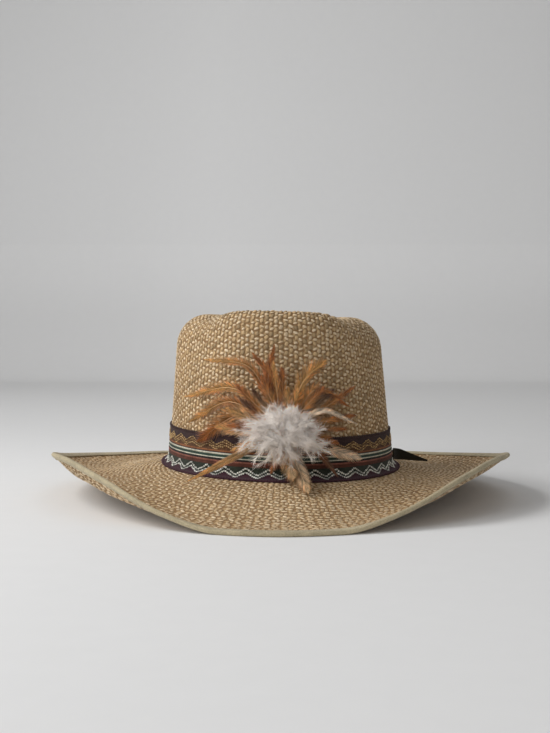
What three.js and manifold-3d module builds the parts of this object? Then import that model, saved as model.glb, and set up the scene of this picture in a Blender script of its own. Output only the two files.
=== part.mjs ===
// Straw cowboy hat with a bound brim, a woven band and a feather cockade.
// Millimetres, +Z up, the front of the hat towards -Y, standing on its brim at z = 0.

import * as THREE from "three";
import { mergeVertices } from "three/addons/utils/BufferGeometryUtils.js";
import Module from "manifold-3d";

const wasm = await Module();
wasm.setup();

// Straw and seams
const strawWall = 1.5;
const seamGap = 0.3;

// Brim: plan of the edge, height of the crown seam, and how far the sides roll up
const brimHalfWidth = 172.5;
const brimHalfLength = 187;
const brimPlanPower = 1.85;
const seamHeight = 21.5;
const seamRadius = 6.5;
const seamSlope = -7;
const brimFullness = 0.38;
const curlHeight = 33.3;
const curlAngle = 60;

// Crown: plan at the band, taper of the wall, crest and dents
const crownHalfWidth = 85.2;
const crownHalfLength = 102.5;
const crownHeight = 138.5;
const wallTaperSide = 7.2;
const wallTaperEnds = 11;
const crownLean = 0.022;
const crownSway = 1.2;
const shoulderRise = 23;
const shoulderReach = 24;
const topDentDepth = 18;
const topDentWall = 36;
const pinchDepth = 5;
const pinchAngle = 50;
const pinchSpread = 17;
const pinchHeight = 46;

// Binding round the brim edge
const bindingWidth = 5.5;
const bindingWall = 0.8;
const bindingChamfer = 0.5;

// Hat band and its loose end
const bandHeight = 30;
const bandWall = 0.9;
const tailReach = 27;
const tailWidth = 8.5;
const tailWall = 1.2;
const tailAzimuth = 86;
const tailRise = 3;
const tailDrop = 5;

// Feather cockade on the front of the band
const cockadeAcross = 3;
const cockadeUp = 57;
const hubRadius = 11;
const hubStand = 7;
const featherReach = 60;
const featherWidth = 7;
const featherStem = 2;
const featherThickness = 1.6;
const featherRise = 4.3;
const puffHalfWidth = 33;
const puffHalfHeight = 21;
const puffDepth = 18;
const lockLength = 9;
const lockWidth = 11;
const lockTip = 2.8;

// How finely the shapes are divided
const azimuthSteps = 64;
const brimRows = 7;
const seamRows = 3;
const wallRows = 3;
const shoulderRows = 5;
const dentRows = 5;
const tailSteps = 10;
const featherSteps = 9;
const hubSides = 16;
const puffSides = 12;
const puffRows = 7;
const lockSides = 5;

// The brim edge by azimuth from the front: its height as a share of curlHeight, and the slope of
// the rolled edge on the wearer's right and left as shares of curlAngle.
const brimEdge = [
  { azimuth: 0, height: 0, curlRight: 0, curlLeft: 0 },
  { azimuth: 14, height: 0, curlRight: 0, curlLeft: 0 },
  { azimuth: 28, height: 0.27, curlRight: 0.42, curlLeft: 0.37 },
  { azimuth: 45, height: 0.78, curlRight: 0.96, curlLeft: 0.78 },
  { azimuth: 62, height: 1, curlRight: 1, curlLeft: 0.77 },
  { azimuth: 80, height: 0.89, curlRight: 0.67, curlLeft: 0.58 },
  { azimuth: 100, height: 0.67, curlRight: 0.5, curlLeft: 0.46 },
  { azimuth: 125, height: 0.42, curlRight: 0.3, curlLeft: 0.3 },
  { azimuth: 150, height: 0.24, curlRight: 0.14, curlLeft: 0.14 },
  { azimuth: 166, height: 0, curlRight: 0, curlLeft: 0 },
  { azimuth: 180, height: 0, curlRight: 0, curlLeft: 0 },
];

// The crest of the crown by azimuth: height as a share of crownHeight, and how far the shoulder
// reaches in and rises, as shares of shoulderReach and shoulderRise.
const crownCrest = [
  { azimuth: 0, height: 1, reach: 0.37, rise: 0.6 },
  { azimuth: 25, height: 0.995, reach: 0.42, rise: 0.65 },
  { azimuth: 50, height: 0.966, reach: 0.7, rise: 0.85 },
  { azimuth: 72, height: 0.975, reach: 1, rise: 1.1 },
  { azimuth: 110, height: 0.975, reach: 1, rise: 1.1 },
  { azimuth: 150, height: 0.97, reach: 0.85, rise: 1 },
  { azimuth: 180, height: 0.975, reach: 0.75, rise: 0.9 },
];

// The loose end of the band: how far it has run back along the side and out from it, as shares of
// tailReach, and how far it has dropped as a share of tailDrop.
const tailPath = [
  { back: 0, out: 0, drop: 0 },
  { back: 0.2, out: 0.01, drop: 0.05 },
  { back: 0.36, out: 0.16, drop: 0.25 },
  { back: 0.42, out: 0.55, drop: 0.75 },
  { back: 0.45, out: 1, drop: 1.3 },
];

// The feathers: where each bends and where it ends, across and up from the middle of the cockade
// as shares of featherReach, and off the crown as shares of hubStand. Width is a share of
// featherWidth.
const feathers = [
  { bendAcross: -0.19, bendUp: 0.52, bendOff: 1.1, tipAcross: -0.12, tipUp: 0.97, tipOff: 1.5, width: 0.9 },
  { bendAcross: -0.2, bendUp: 0.66, bendOff: 1.2, tipAcross: -0.36, tipUp: 0.88, tipOff: 1.8, width: 0.8 },
  { bendAcross: -0.4, bendUp: 0.72, bendOff: 1.4, tipAcross: -0.94, tipUp: 0.8, tipOff: 2.2, width: 0.9 },
  { bendAcross: -0.56, bendUp: 0.47, bendOff: 1.2, tipAcross: -1.18, tipUp: 0.35, tipOff: 2.4, width: 1 },
  { bendAcross: -0.62, bendUp: 0.32, bendOff: 1.1, tipAcross: -1.12, tipUp: 0.06, tipOff: 2, width: 0.9 },
  { bendAcross: -0.52, bendUp: 0.17, bendOff: 1.1, tipAcross: -1.02, tipUp: -0.16, tipOff: 1.8, width: 0.8 },
  { bendAcross: -0.58, bendUp: -0.3, bendOff: 2, tipAcross: -1.1, tipUp: -0.57, tipOff: 6, width: 0.9 },
  { bendAcross: 0.24, bendUp: 0.62, bendOff: 1.2, tipAcross: 0.47, tipUp: 0.85, tipOff: 1.8, width: 1.2 },
  { bendAcross: 0.5, bendUp: 0.4, bendOff: 1.3, tipAcross: 0.86, tipUp: 0.1, tipOff: 2.2, width: 1 },
  { bendAcross: 0.34, bendUp: 0.46, bendOff: 1.1, tipAcross: 0.7, tipUp: 0.3, tipOff: 1.3, width: 1.1 },
  { bendAcross: 0.52, bendUp: -0.22, bendOff: 1.2, tipAcross: 0.85, tipUp: -0.34, tipOff: 2.4, width: 0.9 },
  { bendAcross: 0.12, bendUp: -0.33, bendOff: 1.5, tipAcross: 0.24, tipUp: -0.58, tipOff: 4.6, width: 2 },
  { bendAcross: 0.42, bendUp: -0.3, bendOff: 1.3, tipAcross: 0.6, tipUp: -0.52, tipOff: 2.6, width: 0.7 },
];

// The locks of the down puff in rings, each with its count and how far its locks lean outwards
// in degrees.
const puffRings = [
  { count: 1, lean: 0 },
  { count: 6, lean: 32 },
  { count: 9, lean: 58 },
  { count: 13, lean: 80 },
];

const radians = THREE.MathUtils.degToRad;

// A column of a table at any azimuth, smooth between its rows and flat across its ends.
function columnAt(table, column, azimuth) {
  const at = Math.abs(azimuth);
  let next = 1;
  while (next < table.length - 1 && table[next].azimuth < at) next += 1;
  const slope = (index) => {
    const before = table[Math.max(index - 1, 0)];
    const after = table[Math.min(index + 1, table.length - 1)];
    const here = table[index];
    const rise = (after[column] - here[column]) * (here[column] - before[column]);
    if (rise <= 0) return 0;
    return (after[column] - before[column]) / (after.azimuth - before.azimuth);
  };
  const from = table[next - 1];
  const to = table[next];
  const span = to.azimuth - from.azimuth;
  const t = (at - from.azimuth) / span;
  const startWeight = (1 + 2 * t) * (1 - t) ** 2;
  const endWeight = t * t * (3 - 2 * t);
  const startSlope = t * (1 - t) ** 2 * span * slope(next - 1);
  const endSlope = t * t * (t - 1) * span * slope(next);
  return from[column] * startWeight + to[column] * endWeight + startSlope + endSlope;
}

// A point of an oval seen from above, at an azimuth from the front.
function ovalPoint(halfWidth, halfLength, azimuth, power = 2) {
  const across = Math.sin(radians(azimuth));
  const along = -Math.cos(radians(azimuth));
  const bulge = (value) => Math.sign(value) * Math.abs(value) ** (2 / power);
  return new THREE.Vector2(halfWidth * bulge(across), halfLength * bulge(along));
}

const shoulderHeight = crownHeight - shoulderRise;
const wallFoot = seamHeight + seamRadius;
const bandTop = seamHeight + bandHeight;
const bandFace = seamGap + bandWall;

// The oval of the crown wall at a height, before the dents. The top sways to the wearer's right.
function wallOval(azimuth, height) {
  const climb = Math.max(height - wallFoot, 0) / (shoulderHeight - wallFoot);
  const halfWidth = crownHalfWidth - wallTaperSide * climb;
  const halfLength = crownHalfLength - wallTaperEnds * climb;
  const oval = ovalPoint(halfWidth, halfLength, azimuth);
  return oval.setX(oval.x - crownSway * climb);
}

// How deep the two front pinches press in at an azimuth and a height.
function pinchAt(azimuth, height) {
  const aside = (Math.abs(azimuth) - pinchAngle) / pinchSpread;
  const below = (crownHeight - height) / pinchHeight;
  return pinchDepth * Math.exp(-aside * aside) * Math.exp(-below * below);
}

// The crown sits a little lower on the wearer's left.
function leaned(plan, height, share = 1) {
  return new THREE.Vector3(plan.x, plan.y, height - crownLean * plan.x * share);
}

function wallPoint(azimuth, height) {
  const plan = wallOval(azimuth, height);
  plan.setLength(plan.length() - pinchAt(azimuth, height));
  return leaned(plan, height);
}

// Outer face of the straw at one azimuth, from the brim edge to the middle of the crown's top.
function brimSection(azimuth) {
  const foot = ovalPoint(crownHalfWidth, crownHalfLength, azimuth);
  const edge = ovalPoint(brimHalfWidth, brimHalfLength, azimuth, brimPlanPower);
  const outward = edge.clone().sub(foot);
  const reach = outward.length();
  outward.normalize();
  const side = azimuth < 0 ? "curlRight" : "curlLeft";
  const curl = radians(curlAngle * columnAt(brimEdge, side, azimuth));
  const edgeRise = columnAt(brimEdge, "height", azimuth) * curlHeight;
  const lift = bindingWall + seamGap + strawWall;
  const land = bindingWidth + 2 * seamGap;
  const landReach = reach - land * Math.cos(curl);
  const landRise = edgeRise + lift - land * Math.sin(curl);
  const pull = brimFullness * (reach - seamRadius);
  const fall = radians(seamSlope);
  const curve = new THREE.CubicBezierCurve(
    new THREE.Vector2(seamRadius, seamHeight),
    new THREE.Vector2(seamRadius + pull * Math.cos(fall), seamHeight + pull * Math.sin(fall)),
    new THREE.Vector2(landReach - pull * Math.cos(curl), landRise - pull * Math.sin(curl)),
    new THREE.Vector2(landReach, landRise),
  );
  const section = [new THREE.Vector2(reach, edgeRise + lift)];
  for (let row = brimRows; row >= 0; row -= 1) section.push(curve.getPoint(row / brimRows));
  for (let row = 1; row <= seamRows; row += 1) {
    const turn = (Math.PI / 2) * (row / seamRows);
    const out = seamRadius * (1 - Math.sin(turn));
    section.push(new THREE.Vector2(out, wallFoot - seamRadius * Math.cos(turn)));
  }
  return section.map(({ x: out, y: height }) => {
    const plan = foot.clone().addScaledVector(outward, out);
    const spread = (out - seamRadius) / (landReach - seamRadius);
    return leaned(plan, height, THREE.MathUtils.clamp(1 - spread, 0, 1));
  });
}

function crownSection(azimuth) {
  const crest = crownHeight * columnAt(crownCrest, "height", azimuth);
  const reach = shoulderReach * columnAt(crownCrest, "reach", azimuth);
  const rise = shoulderRise * columnAt(crownCrest, "rise", azimuth);
  const start = crest - rise;
  const section = [wallPoint(azimuth, bandTop)];
  for (let row = 1; row <= wallRows; row += 1) {
    section.push(wallPoint(azimuth, bandTop + (start - bandTop) * (row / wallRows)));
  }
  const shoulder = wallOval(azimuth, start);
  const rim = shoulder.length();
  for (let row = 1; row <= shoulderRows; row += 1) {
    const turn = (Math.PI / 2) * (row / shoulderRows);
    const height = start + rise * Math.sin(turn);
    const plan = shoulder.clone();
    plan.setLength(rim - reach * (1 - Math.cos(turn)) - pinchAt(azimuth, height));
    section.push(leaned(plan, height));
  }
  const top = rim - reach - pinchAt(azimuth, crest);
  const floor = crownHeight - topDentDepth;
  for (let row = 1; row < dentRows; row += 1) {
    const share = row / dentRows;
    const inside = Math.min((top * share) / topDentWall, 1);
    const fall = (1 - Math.cos(Math.PI * inside)) / 2;
    const plan = shoulder.clone().setLength(top * (1 - share));
    section.push(leaned(plan, crest + (floor - crest) * fall));
  }
  return section;
}

const sections = [];
for (let step = 0; step < azimuthSteps; step += 1) {
  const azimuth = (360 * step) / azimuthSteps - 180;
  sections.push([...brimSection(azimuth), ...crownSection(azimuth)]);
}
const topMiddle = new THREE.Vector3(0, 0, crownHeight - topDentDepth);

// A closed mesh from plain vertices and triangles.
function solidGeometry(points, triangles) {
  const geometry = new THREE.BufferGeometry();
  const flat = points.flatMap((point) => [point.x, point.y, point.z]);
  geometry.setAttribute("position", new THREE.Float32BufferAttribute(flat, 3));
  geometry.setIndex(triangles);
  return geometry;
}

// Triangles of a band of quads between two rings of points, cut along either diagonal.
function ringQuads(first, second, count, crossed = false) {
  const triangles = [];
  for (let step = 0; step < count; step += 1) {
    const a = first(step);
    const b = first((step + 1) % count);
    const c = second((step + 1) % count);
    const d = second(step);
    triangles.push(...(crossed ? [b, c, d, b, d, a] : [a, b, c, a, c, d]));
  }
  return triangles;
}

const rowCount = sections[0].length;

// The last row of the brim, where the crown's wall starts behind the band.
const seamRow = brimRows + 1 + seamRows;

// Triangles of a face with some rows, all round, and on to its middle point if it has one.
function faceTriangles(rows, middle) {
  const triangles = [];
  const at = (row) => (step) => step * rows + row;
  for (let row = 0; row < rows - 1; row += 1) {
    triangles.push(...ringQuads(at(row), at(row + 1), azimuthSteps));
  }
  if (middle === undefined) return triangles;
  const last = at(rows - 1);
  for (let step = 0; step < azimuthSteps; step += 1) {
    triangles.push(last(step), last((step + 1) % azimuthSteps), middle);
  }
  return triangles;
}

// Vertex normals of the straw's outer face, which also set its inner face and the fittings.
function outerNormals() {
  const points = [...sections.flat(), topMiddle];
  const geometry = solidGeometry(points, faceTriangles(rowCount, points.length - 1));
  geometry.computeVertexNormals();
  return geometry.getAttribute("normal");
}

const normals = outerNormals();

// The flat strip along the brim edge that the binding wraps: which way is out, and which is up.
const edgeFrames = sections.map(([edge, landStart], step) => {
  const out = edge.clone().sub(landStart).normalize();
  const before = sections[(step + azimuthSteps - 1) % azimuthSteps][0];
  const after = sections[(step + 1) % azimuthSteps][0];
  const up = new THREE.Vector3().crossVectors(out, after.clone().sub(before)).normalize();
  return { out, up };
});

function skinNormal(step, row) {
  if (row < 2) return edgeFrames[step].up;
  return new THREE.Vector3().fromBufferAttribute(normals, step * rowCount + row);
}

// Outer and inner face of the straw over a run of rows, a ring of points for each azimuth.
function strawFaces(firstRow, lastRow) {
  const outer = sections.map((section) => section.slice(firstRow, lastRow + 1));
  const inner = outer.map((ring, step) =>
    ring.map((point, row) =>
      point.clone().addScaledVector(skinNormal(step, firstRow + row), -strawWall),
    ),
  );
  return [outer, inner];
}

// A closed wall between two faces. It ends in the middles of the faces, or else in a rim.
function wallGeometry(outer, inner, middles = []) {
  const rows = outer[0].length;
  const outerPoints = [...outer.flat(), ...middles.slice(0, 1)];
  const innerPoints = [...inner.flat(), ...middles.slice(1)];
  const offset = outerPoints.length;
  const face = faceTriangles(rows, middles.length ? offset - 1 : undefined);
  const triangles = [...face];
  for (let first = 0; first < face.length; first += 3) {
    const [a, b, c] = face.slice(first, first + 3);
    triangles.push(a + offset, c + offset, b + offset);
  }
  const over = (row) => (step) => step * rows + row;
  const under = (row) => (step) => step * rows + row + offset;
  triangles.push(...ringQuads(under(0), over(0), azimuthSteps));
  if (!middles.length) {
    triangles.push(...ringQuads(over(rows - 1), under(rows - 1), azimuthSteps));
  }
  return solidGeometry([...outerPoints, ...innerPoints], triangles);
}

// The brim of the blocked straw, in from its edge to the seam behind the band.
function brimGeometry() {
  return wallGeometry(...strawFaces(0, seamRow));
}

// The crown of the blocked straw, open below for the head. Its foot stands a gap over the brim.
function crownGeometry() {
  const [outer, inner] = strawFaces(seamRow, rowCount - 1);
  for (const ring of [...outer, ...inner]) ring[0] = ring[0].clone().setZ(ring[0].z + seamGap);
  const innerMiddle = topMiddle.clone().setZ(topMiddle.z - strawWall);
  return wallGeometry(outer, inner, [topMiddle, innerMiddle]);
}

// A loop swept round the hat from one closed section for each azimuth. The quads from one of its
// corners can be cut the other way, to lie parallel to the straw's.
function loopGeometry(rings, crossedCorner) {
  const corners = rings[0].length;
  const triangles = [];
  for (let corner = 0; corner < corners; corner += 1) {
    const here = (step) => step * corners + corner;
    const next = (step) => step * corners + ((corner + 1) % corners);
    triangles.push(...ringQuads(here, next, rings.length, corner === crossedCorner));
  }
  return solidGeometry(rings.flat(), triangles);
}

// The folded ribbon that wraps the brim edge, above and below.
function brimBindingGeometry() {
  const inside = seamGap;
  const outside = seamGap + bindingWall;
  const below = strawWall + seamGap;
  const foot = below + bindingWall;
  const back = -bindingWidth;
  const profile = [
    [back, outside],
    [back, inside],
    [inside, inside],
    [inside, -below],
    [back, -below],
    [back, -foot],
    [outside - bindingChamfer, -foot],
    [outside, -foot + bindingChamfer],
    [outside, outside - bindingChamfer],
    [outside - bindingChamfer, outside],
  ];
  const overStraw = 1;
  const rings = sections.map(([edge], step) => {
    const { out, up } = edgeFrames[step];
    return profile.map(([along, above]) =>
      edge.clone().addScaledVector(out, along).addScaledVector(up, above),
    );
  });
  return loopGeometry(rings, overStraw);
}

// The woven band, which follows the foot of the crown from the seam to its upper edge.
function hatBandGeometry() {
  const bottomRow = brimRows + 2;
  const topRow = bottomRow + seamRows;
  const rings = sections.map((section, step) => {
    const outer = [];
    const inner = [];
    for (let row = bottomRow; row <= topRow; row += 1) {
      const normal = skinNormal(step, row);
      inner.push(section[row].clone().addScaledVector(normal, seamGap));
      outer.push(section[row].clone().addScaledVector(normal, bandFace));
    }
    return [...outer, ...inner.reverse()];
  });
  return loopGeometry(rings);
}

// A flat strip along a curve, thickest along its middle. widthAt gives its width at a share of the
// curve, and faceFor the way it faces where it runs in a direction.
function stripGeometry(path, widthAt, thickness, faceFor, steps) {
  const rings = [];
  for (let step = 0; step <= steps; step += 1) {
    const share = step / steps;
    const point = path.getPoint(share);
    const along = path.getTangent(share);
    const face = faceFor(along);
    const across = new THREE.Vector3().crossVectors(face, along).normalize();
    const up = new THREE.Vector3().crossVectors(along, across).normalize();
    const half = widthAt(share) / 2;
    rings.push([
      point.clone().addScaledVector(across, half),
      point.clone().addScaledVector(up, thickness / 2),
      point.clone().addScaledVector(across, -half),
      point.clone().addScaledVector(up, -thickness / 2),
    ]);
  }
  const triangles = [];
  for (let ring = 0; ring < steps; ring += 1) {
    const near = (corner) => ring * 4 + corner;
    const far = (corner) => (ring + 1) * 4 + corner;
    triangles.push(...ringQuads(near, far, 4));
  }
  const end = steps * 4;
  triangles.push(0, 2, 1, 0, 3, 2);
  triangles.push(end, end + 1, end + 2, end, end + 2, end + 3);
  return solidGeometry(rings.flat(), triangles);
}

// A point at a distance off the crown wall, and the direction away from the wall there.
function offWall(azimuth, height, stand) {
  const plan = wallPoint(azimuth, height);
  const away = new THREE.Vector3(
    plan.x / crownHalfWidth ** 2,
    plan.y / crownHalfLength ** 2,
    0,
  ).normalize();
  return { point: plan.addScaledVector(away, stand), away };
}

const lockAxis = new THREE.Vector3(0, 1, 0);

// The loose end of the band, which turns out from its side and lies over the brim.
function bandTailGeometry() {
  const off = bandFace + seamGap + tailWall / 2;
  const root = offWall(tailAzimuth, wallFoot + tailRise, off);
  const backward = new THREE.Vector3(-root.away.y, root.away.x, 0);
  const vertical = new THREE.Vector3(0, 0, 1);
  const path = new THREE.CatmullRomCurve3(
    tailPath.map(({ back, out, drop }) =>
      root.point
        .clone()
        .addScaledVector(backward, tailReach * back)
        .addScaledVector(root.away, tailReach * out)
        .addScaledVector(vertical, -tailDrop * drop),
    ),
  );
  const pointed = 0.65;
  const widthAt = (share) => tailWall + (tailWidth - tailWall) * Math.min(1, (1 - share) / pointed);
  const faceFor = (along) => new THREE.Vector3().crossVectors(along, vertical);
  return stripGeometry(path, widthAt, tailWall, faceFor, tailSteps);
}

// The place on the front of the hat at a distance across and up from the cockade's middle. It
// stands forward of an upright oval that just clears the band behind the cockade's hub.
function cockadePoint(across, up, stand) {
  const height = cockadeUp + up;
  const wallHeight = Math.max(Math.min(height, shoulderHeight), cockadeUp - hubRadius);
  const oval = wallOval(90, wallHeight);
  const azimuth = THREE.MathUtils.radToDeg(Math.asin((cockadeAcross + across) / oval.x));
  const foremost = wallOval(azimuth, cockadeUp - hubRadius);
  return new THREE.Vector3(cockadeAcross + across, foremost.y - stand, height);
}

// Joins solids into one closed body.
function fused(geometries) {
  const solids = geometries.map((geometry) => {
    geometry.deleteAttribute("normal");
    geometry.deleteAttribute("uv");
    const merged = mergeVertices(geometry);
    const mesh = new wasm.Mesh({
      numProp: 3,
      vertProperties: new Float32Array(merged.getAttribute("position").array),
      triVerts: new Uint32Array(merged.getIndex().array),
    });
    return new wasm.Manifold(mesh);
  });
  const mesh = solids.reduce((sum, solid) => sum.add(solid)).getMesh();
  const geometry = new THREE.BufferGeometry();
  geometry.setAttribute("position", new THREE.BufferAttribute(mesh.vertProperties, 3));
  geometry.setIndex(new THREE.BufferAttribute(mesh.triVerts, 1));
  return geometry;
}

// Hackle feathers fanned out from a hub that is sewn to the front of the band.
function featherSprayGeometry() {
  const middle = cockadePoint(0, 0, bandFace + seamGap);
  const depth = hubStand - bandFace - seamGap;
  const hub = new THREE.CylinderGeometry(hubRadius, hubRadius, depth, hubSides);
  hub.translate(middle.x, middle.y - depth / 2, middle.z);
  const forward = new THREE.Vector3(0, -1, 0);
  const leaving = 0.4;
  const spray = feathers.map((feather) => {
    const place = (across, up, share, off) =>
      cockadePoint(across * featherReach * share, up * featherReach * share, off);
    const path = new THREE.CatmullRomCurve3([
      place(0, 0, 0, featherRise),
      place(feather.bendAcross, feather.bendUp, leaving, featherRise),
      place(feather.bendAcross, feather.bendUp, 1, hubStand * feather.bendOff),
      place(feather.tipAcross, feather.tipUp, 1, hubStand * feather.tipOff),
    ]);
    const belly = featherWidth * feather.width - featherStem;
    const widthAt = (share) => featherStem + belly * Math.sin(Math.PI * share ** 0.8);
    return stripGeometry(path, widthAt, featherThickness, () => forward, featherSteps);
  });
  return fused([hub, ...spray]);
}

// The soft down in the middle: a cushion with blunt locks all round.
function downPuffGeometry() {
  const halfDepth = puffDepth / 2;
  const middle = cockadePoint(0, 0, hubStand + seamGap + halfDepth);
  const half = new THREE.Vector3(
    puffHalfWidth - lockLength / 2,
    halfDepth,
    puffHalfHeight - lockLength / 2,
  );
  const core = new THREE.SphereGeometry(1, puffSides, puffRows);
  core.scale(half.x, half.y, half.z);
  core.translate(middle.x, middle.y, middle.z);
  const locks = puffRings.flatMap(({ count, lean }, ring) =>
    Array.from({ length: count }, (unused, index) => {
      const turn = (2 * Math.PI * (index + ring / 2)) / count;
      const tilt = radians(lean);
      const direction = new THREE.Vector3(
        Math.sin(tilt) * Math.cos(turn),
        -Math.cos(tilt),
        Math.sin(tilt) * Math.sin(turn),
      );
      const root = direction.clone().multiply(half).add(middle);
      const lock = new THREE.CylinderGeometry(
        lockTip / 2,
        lockWidth / 2,
        lockLength,
        lockSides,
      );
      lock.applyQuaternion(new THREE.Quaternion().setFromUnitVectors(lockAxis, direction));
      lock.translate(root.x, root.y, root.z);
      return lock;
    }),
  );
  return fused([core, ...locks]);
}

// Each piece of the hat as a mesh with its own finish.
function piece(name, geometry, colour, roughness) {
  const material = new THREE.MeshStandardMaterial({ color: colour, roughness, metalness: 0 });
  const mesh = new THREE.Mesh(geometry, material);
  mesh.name = name;
  return mesh;
}

const hat = new THREE.Group();
hat.add(
  piece("crown", crownGeometry(), 0xb89b70, 0.8),
  piece("brim", brimGeometry(), 0xb89b70, 0.8),
  piece("brim_binding", brimBindingGeometry(), 0xa0906c, 0.85),
  piece("hat_band", hatBandGeometry(), 0x3a2620, 0.9),
  piece("band_tail", bandTailGeometry(), 0x2b211b, 0.85),
  piece("feather_spray", featherSprayGeometry(), 0xa0642c, 0.6),
  piece("down_puff", downPuffGeometry(), 0xcdbdb4, 0.95),
);

export default hat;
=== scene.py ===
"""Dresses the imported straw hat: woven straw, a bound edge, a patterned braid, hackle feathers and down.

Metres, +Z up, the front of the hat towards -Y. The wearer's left is +X.
"""

import math
from collections import namedtuple
from functools import cache

import bpy
import numpy as np
from bpy.props import FloatProperty, FloatVectorProperty, IntProperty, PointerProperty
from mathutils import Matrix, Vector


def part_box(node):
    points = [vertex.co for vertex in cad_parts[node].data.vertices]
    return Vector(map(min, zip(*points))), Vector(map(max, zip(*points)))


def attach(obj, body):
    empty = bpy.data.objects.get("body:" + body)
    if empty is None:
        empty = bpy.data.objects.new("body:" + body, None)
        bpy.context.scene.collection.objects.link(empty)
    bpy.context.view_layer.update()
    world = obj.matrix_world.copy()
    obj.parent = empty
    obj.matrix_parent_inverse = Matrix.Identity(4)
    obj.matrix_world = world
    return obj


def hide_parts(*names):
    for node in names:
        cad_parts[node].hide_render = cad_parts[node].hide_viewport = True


bl_info = {
    "name": "Straw cowboy hat",
    "version": (1, 0, 0),
    "blender": (4, 5, 0),
    "location": "3D View > Sidebar > Straw hat",
    "description": "Dresses a packed hat in woven straw, ribbon, braid, feathers and down",
    "category": "Object",
}

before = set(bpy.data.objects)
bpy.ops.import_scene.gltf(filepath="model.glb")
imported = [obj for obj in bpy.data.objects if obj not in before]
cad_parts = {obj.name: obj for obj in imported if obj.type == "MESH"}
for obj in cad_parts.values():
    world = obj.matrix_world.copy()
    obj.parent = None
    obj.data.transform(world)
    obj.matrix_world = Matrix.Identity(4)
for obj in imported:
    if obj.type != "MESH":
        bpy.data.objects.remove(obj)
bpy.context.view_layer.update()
BRIM_LOW, BRIM_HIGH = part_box("brim")
CROWN_LOW, CROWN_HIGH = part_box("crown")
BODY = "root"
MM = 0.001

# The brim edge by azimuth from the front: its height as a share of the curl height, and the slope
# of the rolled edge on the wearer's right and left as shares of the curl angle.
EdgeRow = namedtuple("EdgeRow", "azimuth height curl_right curl_left")
BRIM_EDGE = [
    EdgeRow(0, 0, 0, 0),
    EdgeRow(14, 0, 0, 0),
    EdgeRow(28, 0.27, 0.42, 0.37),
    EdgeRow(45, 0.78, 0.96, 0.78),
    EdgeRow(62, 1, 1, 0.77),
    EdgeRow(80, 0.89, 0.67, 0.58),
    EdgeRow(100, 0.67, 0.5, 0.46),
    EdgeRow(125, 0.42, 0.3, 0.3),
    EdgeRow(150, 0.24, 0.14, 0.14),
    EdgeRow(166, 0, 0, 0),
    EdgeRow(180, 0, 0, 0),
]

# The crest of the crown by azimuth: height as a share of the crown's, and how far the shoulder
# reaches in and rises, as shares of its named reach and rise.
CrestRow = namedtuple("CrestRow", "azimuth height reach rise")
CROWN_CREST = [
    CrestRow(0, 1, 0.37, 0.6),
    CrestRow(25, 0.995, 0.42, 0.65),
    CrestRow(50, 0.966, 0.7, 0.85),
    CrestRow(72, 0.975, 1, 1.1),
    CrestRow(110, 0.975, 1, 1.1),
    CrestRow(150, 0.97, 0.85, 1),
    CrestRow(180, 0.975, 0.75, 0.9),
]

# Stripes of the braid from its upper edge down: where each starts as a share of the height, its
# yarn and how proud it stands in millimetres.
StripeRow = namedtuple("StripeRow", "start yarn relief")
BRAID_STRIPES = [
    StripeRow(0, "umber", 0.25),
    StripeRow(0.1, "russet_ground", 0),
    StripeRow(0.32, "rust", 0.25),
    StripeRow(0.355, "umber", 0),
    StripeRow(0.375, "cream", 0.4),
    StripeRow(0.41, "green", 0.1),
    StripeRow(0.46, "cream", 0.35),
    StripeRow(0.483, "black", 0),
    StripeRow(0.525, "rose", 0.35),
    StripeRow(0.555, "rust_dark", 0.15),
    StripeRow(0.625, "night_green", 0),
    StripeRow(0.9, "plum", 0.3),
]

# Zigzag yarns of the braid: the places of their peaks and low points as shares down the braid, and
# the width of their stitches as a share of the stitch's.
ZigzagRow = namedtuple("ZigzagRow", "yarn high low width")
BRAID_ZIGZAGS = [
    ZigzagRow("chalk", 0.65, 0.8, 1.6),
    ZigzagRow("chalk", 0.735, 0.885, 1.6),
    ZigzagRow("gold", 0.105, 0.215, 1.15),
    ZigzagRow("gold", 0.16, 0.265, 1.15),
    ZigzagRow("gold", 0.215, 0.31, 1.15),
]

# The yarns and plumage as linear colours
YARNS = {
    "umber": (0.050, 0.026, 0.026),
    "russet_ground": (0.130, 0.062, 0.030),
    "rust": (0.300, 0.120, 0.050),
    "cream": (0.680, 0.670, 0.550),
    "green": (0.036, 0.070, 0.052),
    "black": (0.028, 0.022, 0.020),
    "rose": (0.300, 0.115, 0.080),
    "rust_dark": (0.120, 0.040, 0.026),
    "night_green": (0.034, 0.042, 0.030),
    "plum": (0.062, 0.022, 0.032),
    "gold": (0.640, 0.440, 0.210),
    "chalk": (0.900, 0.900, 0.820),
}
PLUMAGE = {
    "gold": (0.750, 0.410, 0.130),
    "rust": (0.490, 0.175, 0.046),
    "bark": (0.180, 0.078, 0.036),
    "tan": (0.760, 0.520, 0.280),
    "cream": (0.900, 0.740, 0.560),
}

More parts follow.
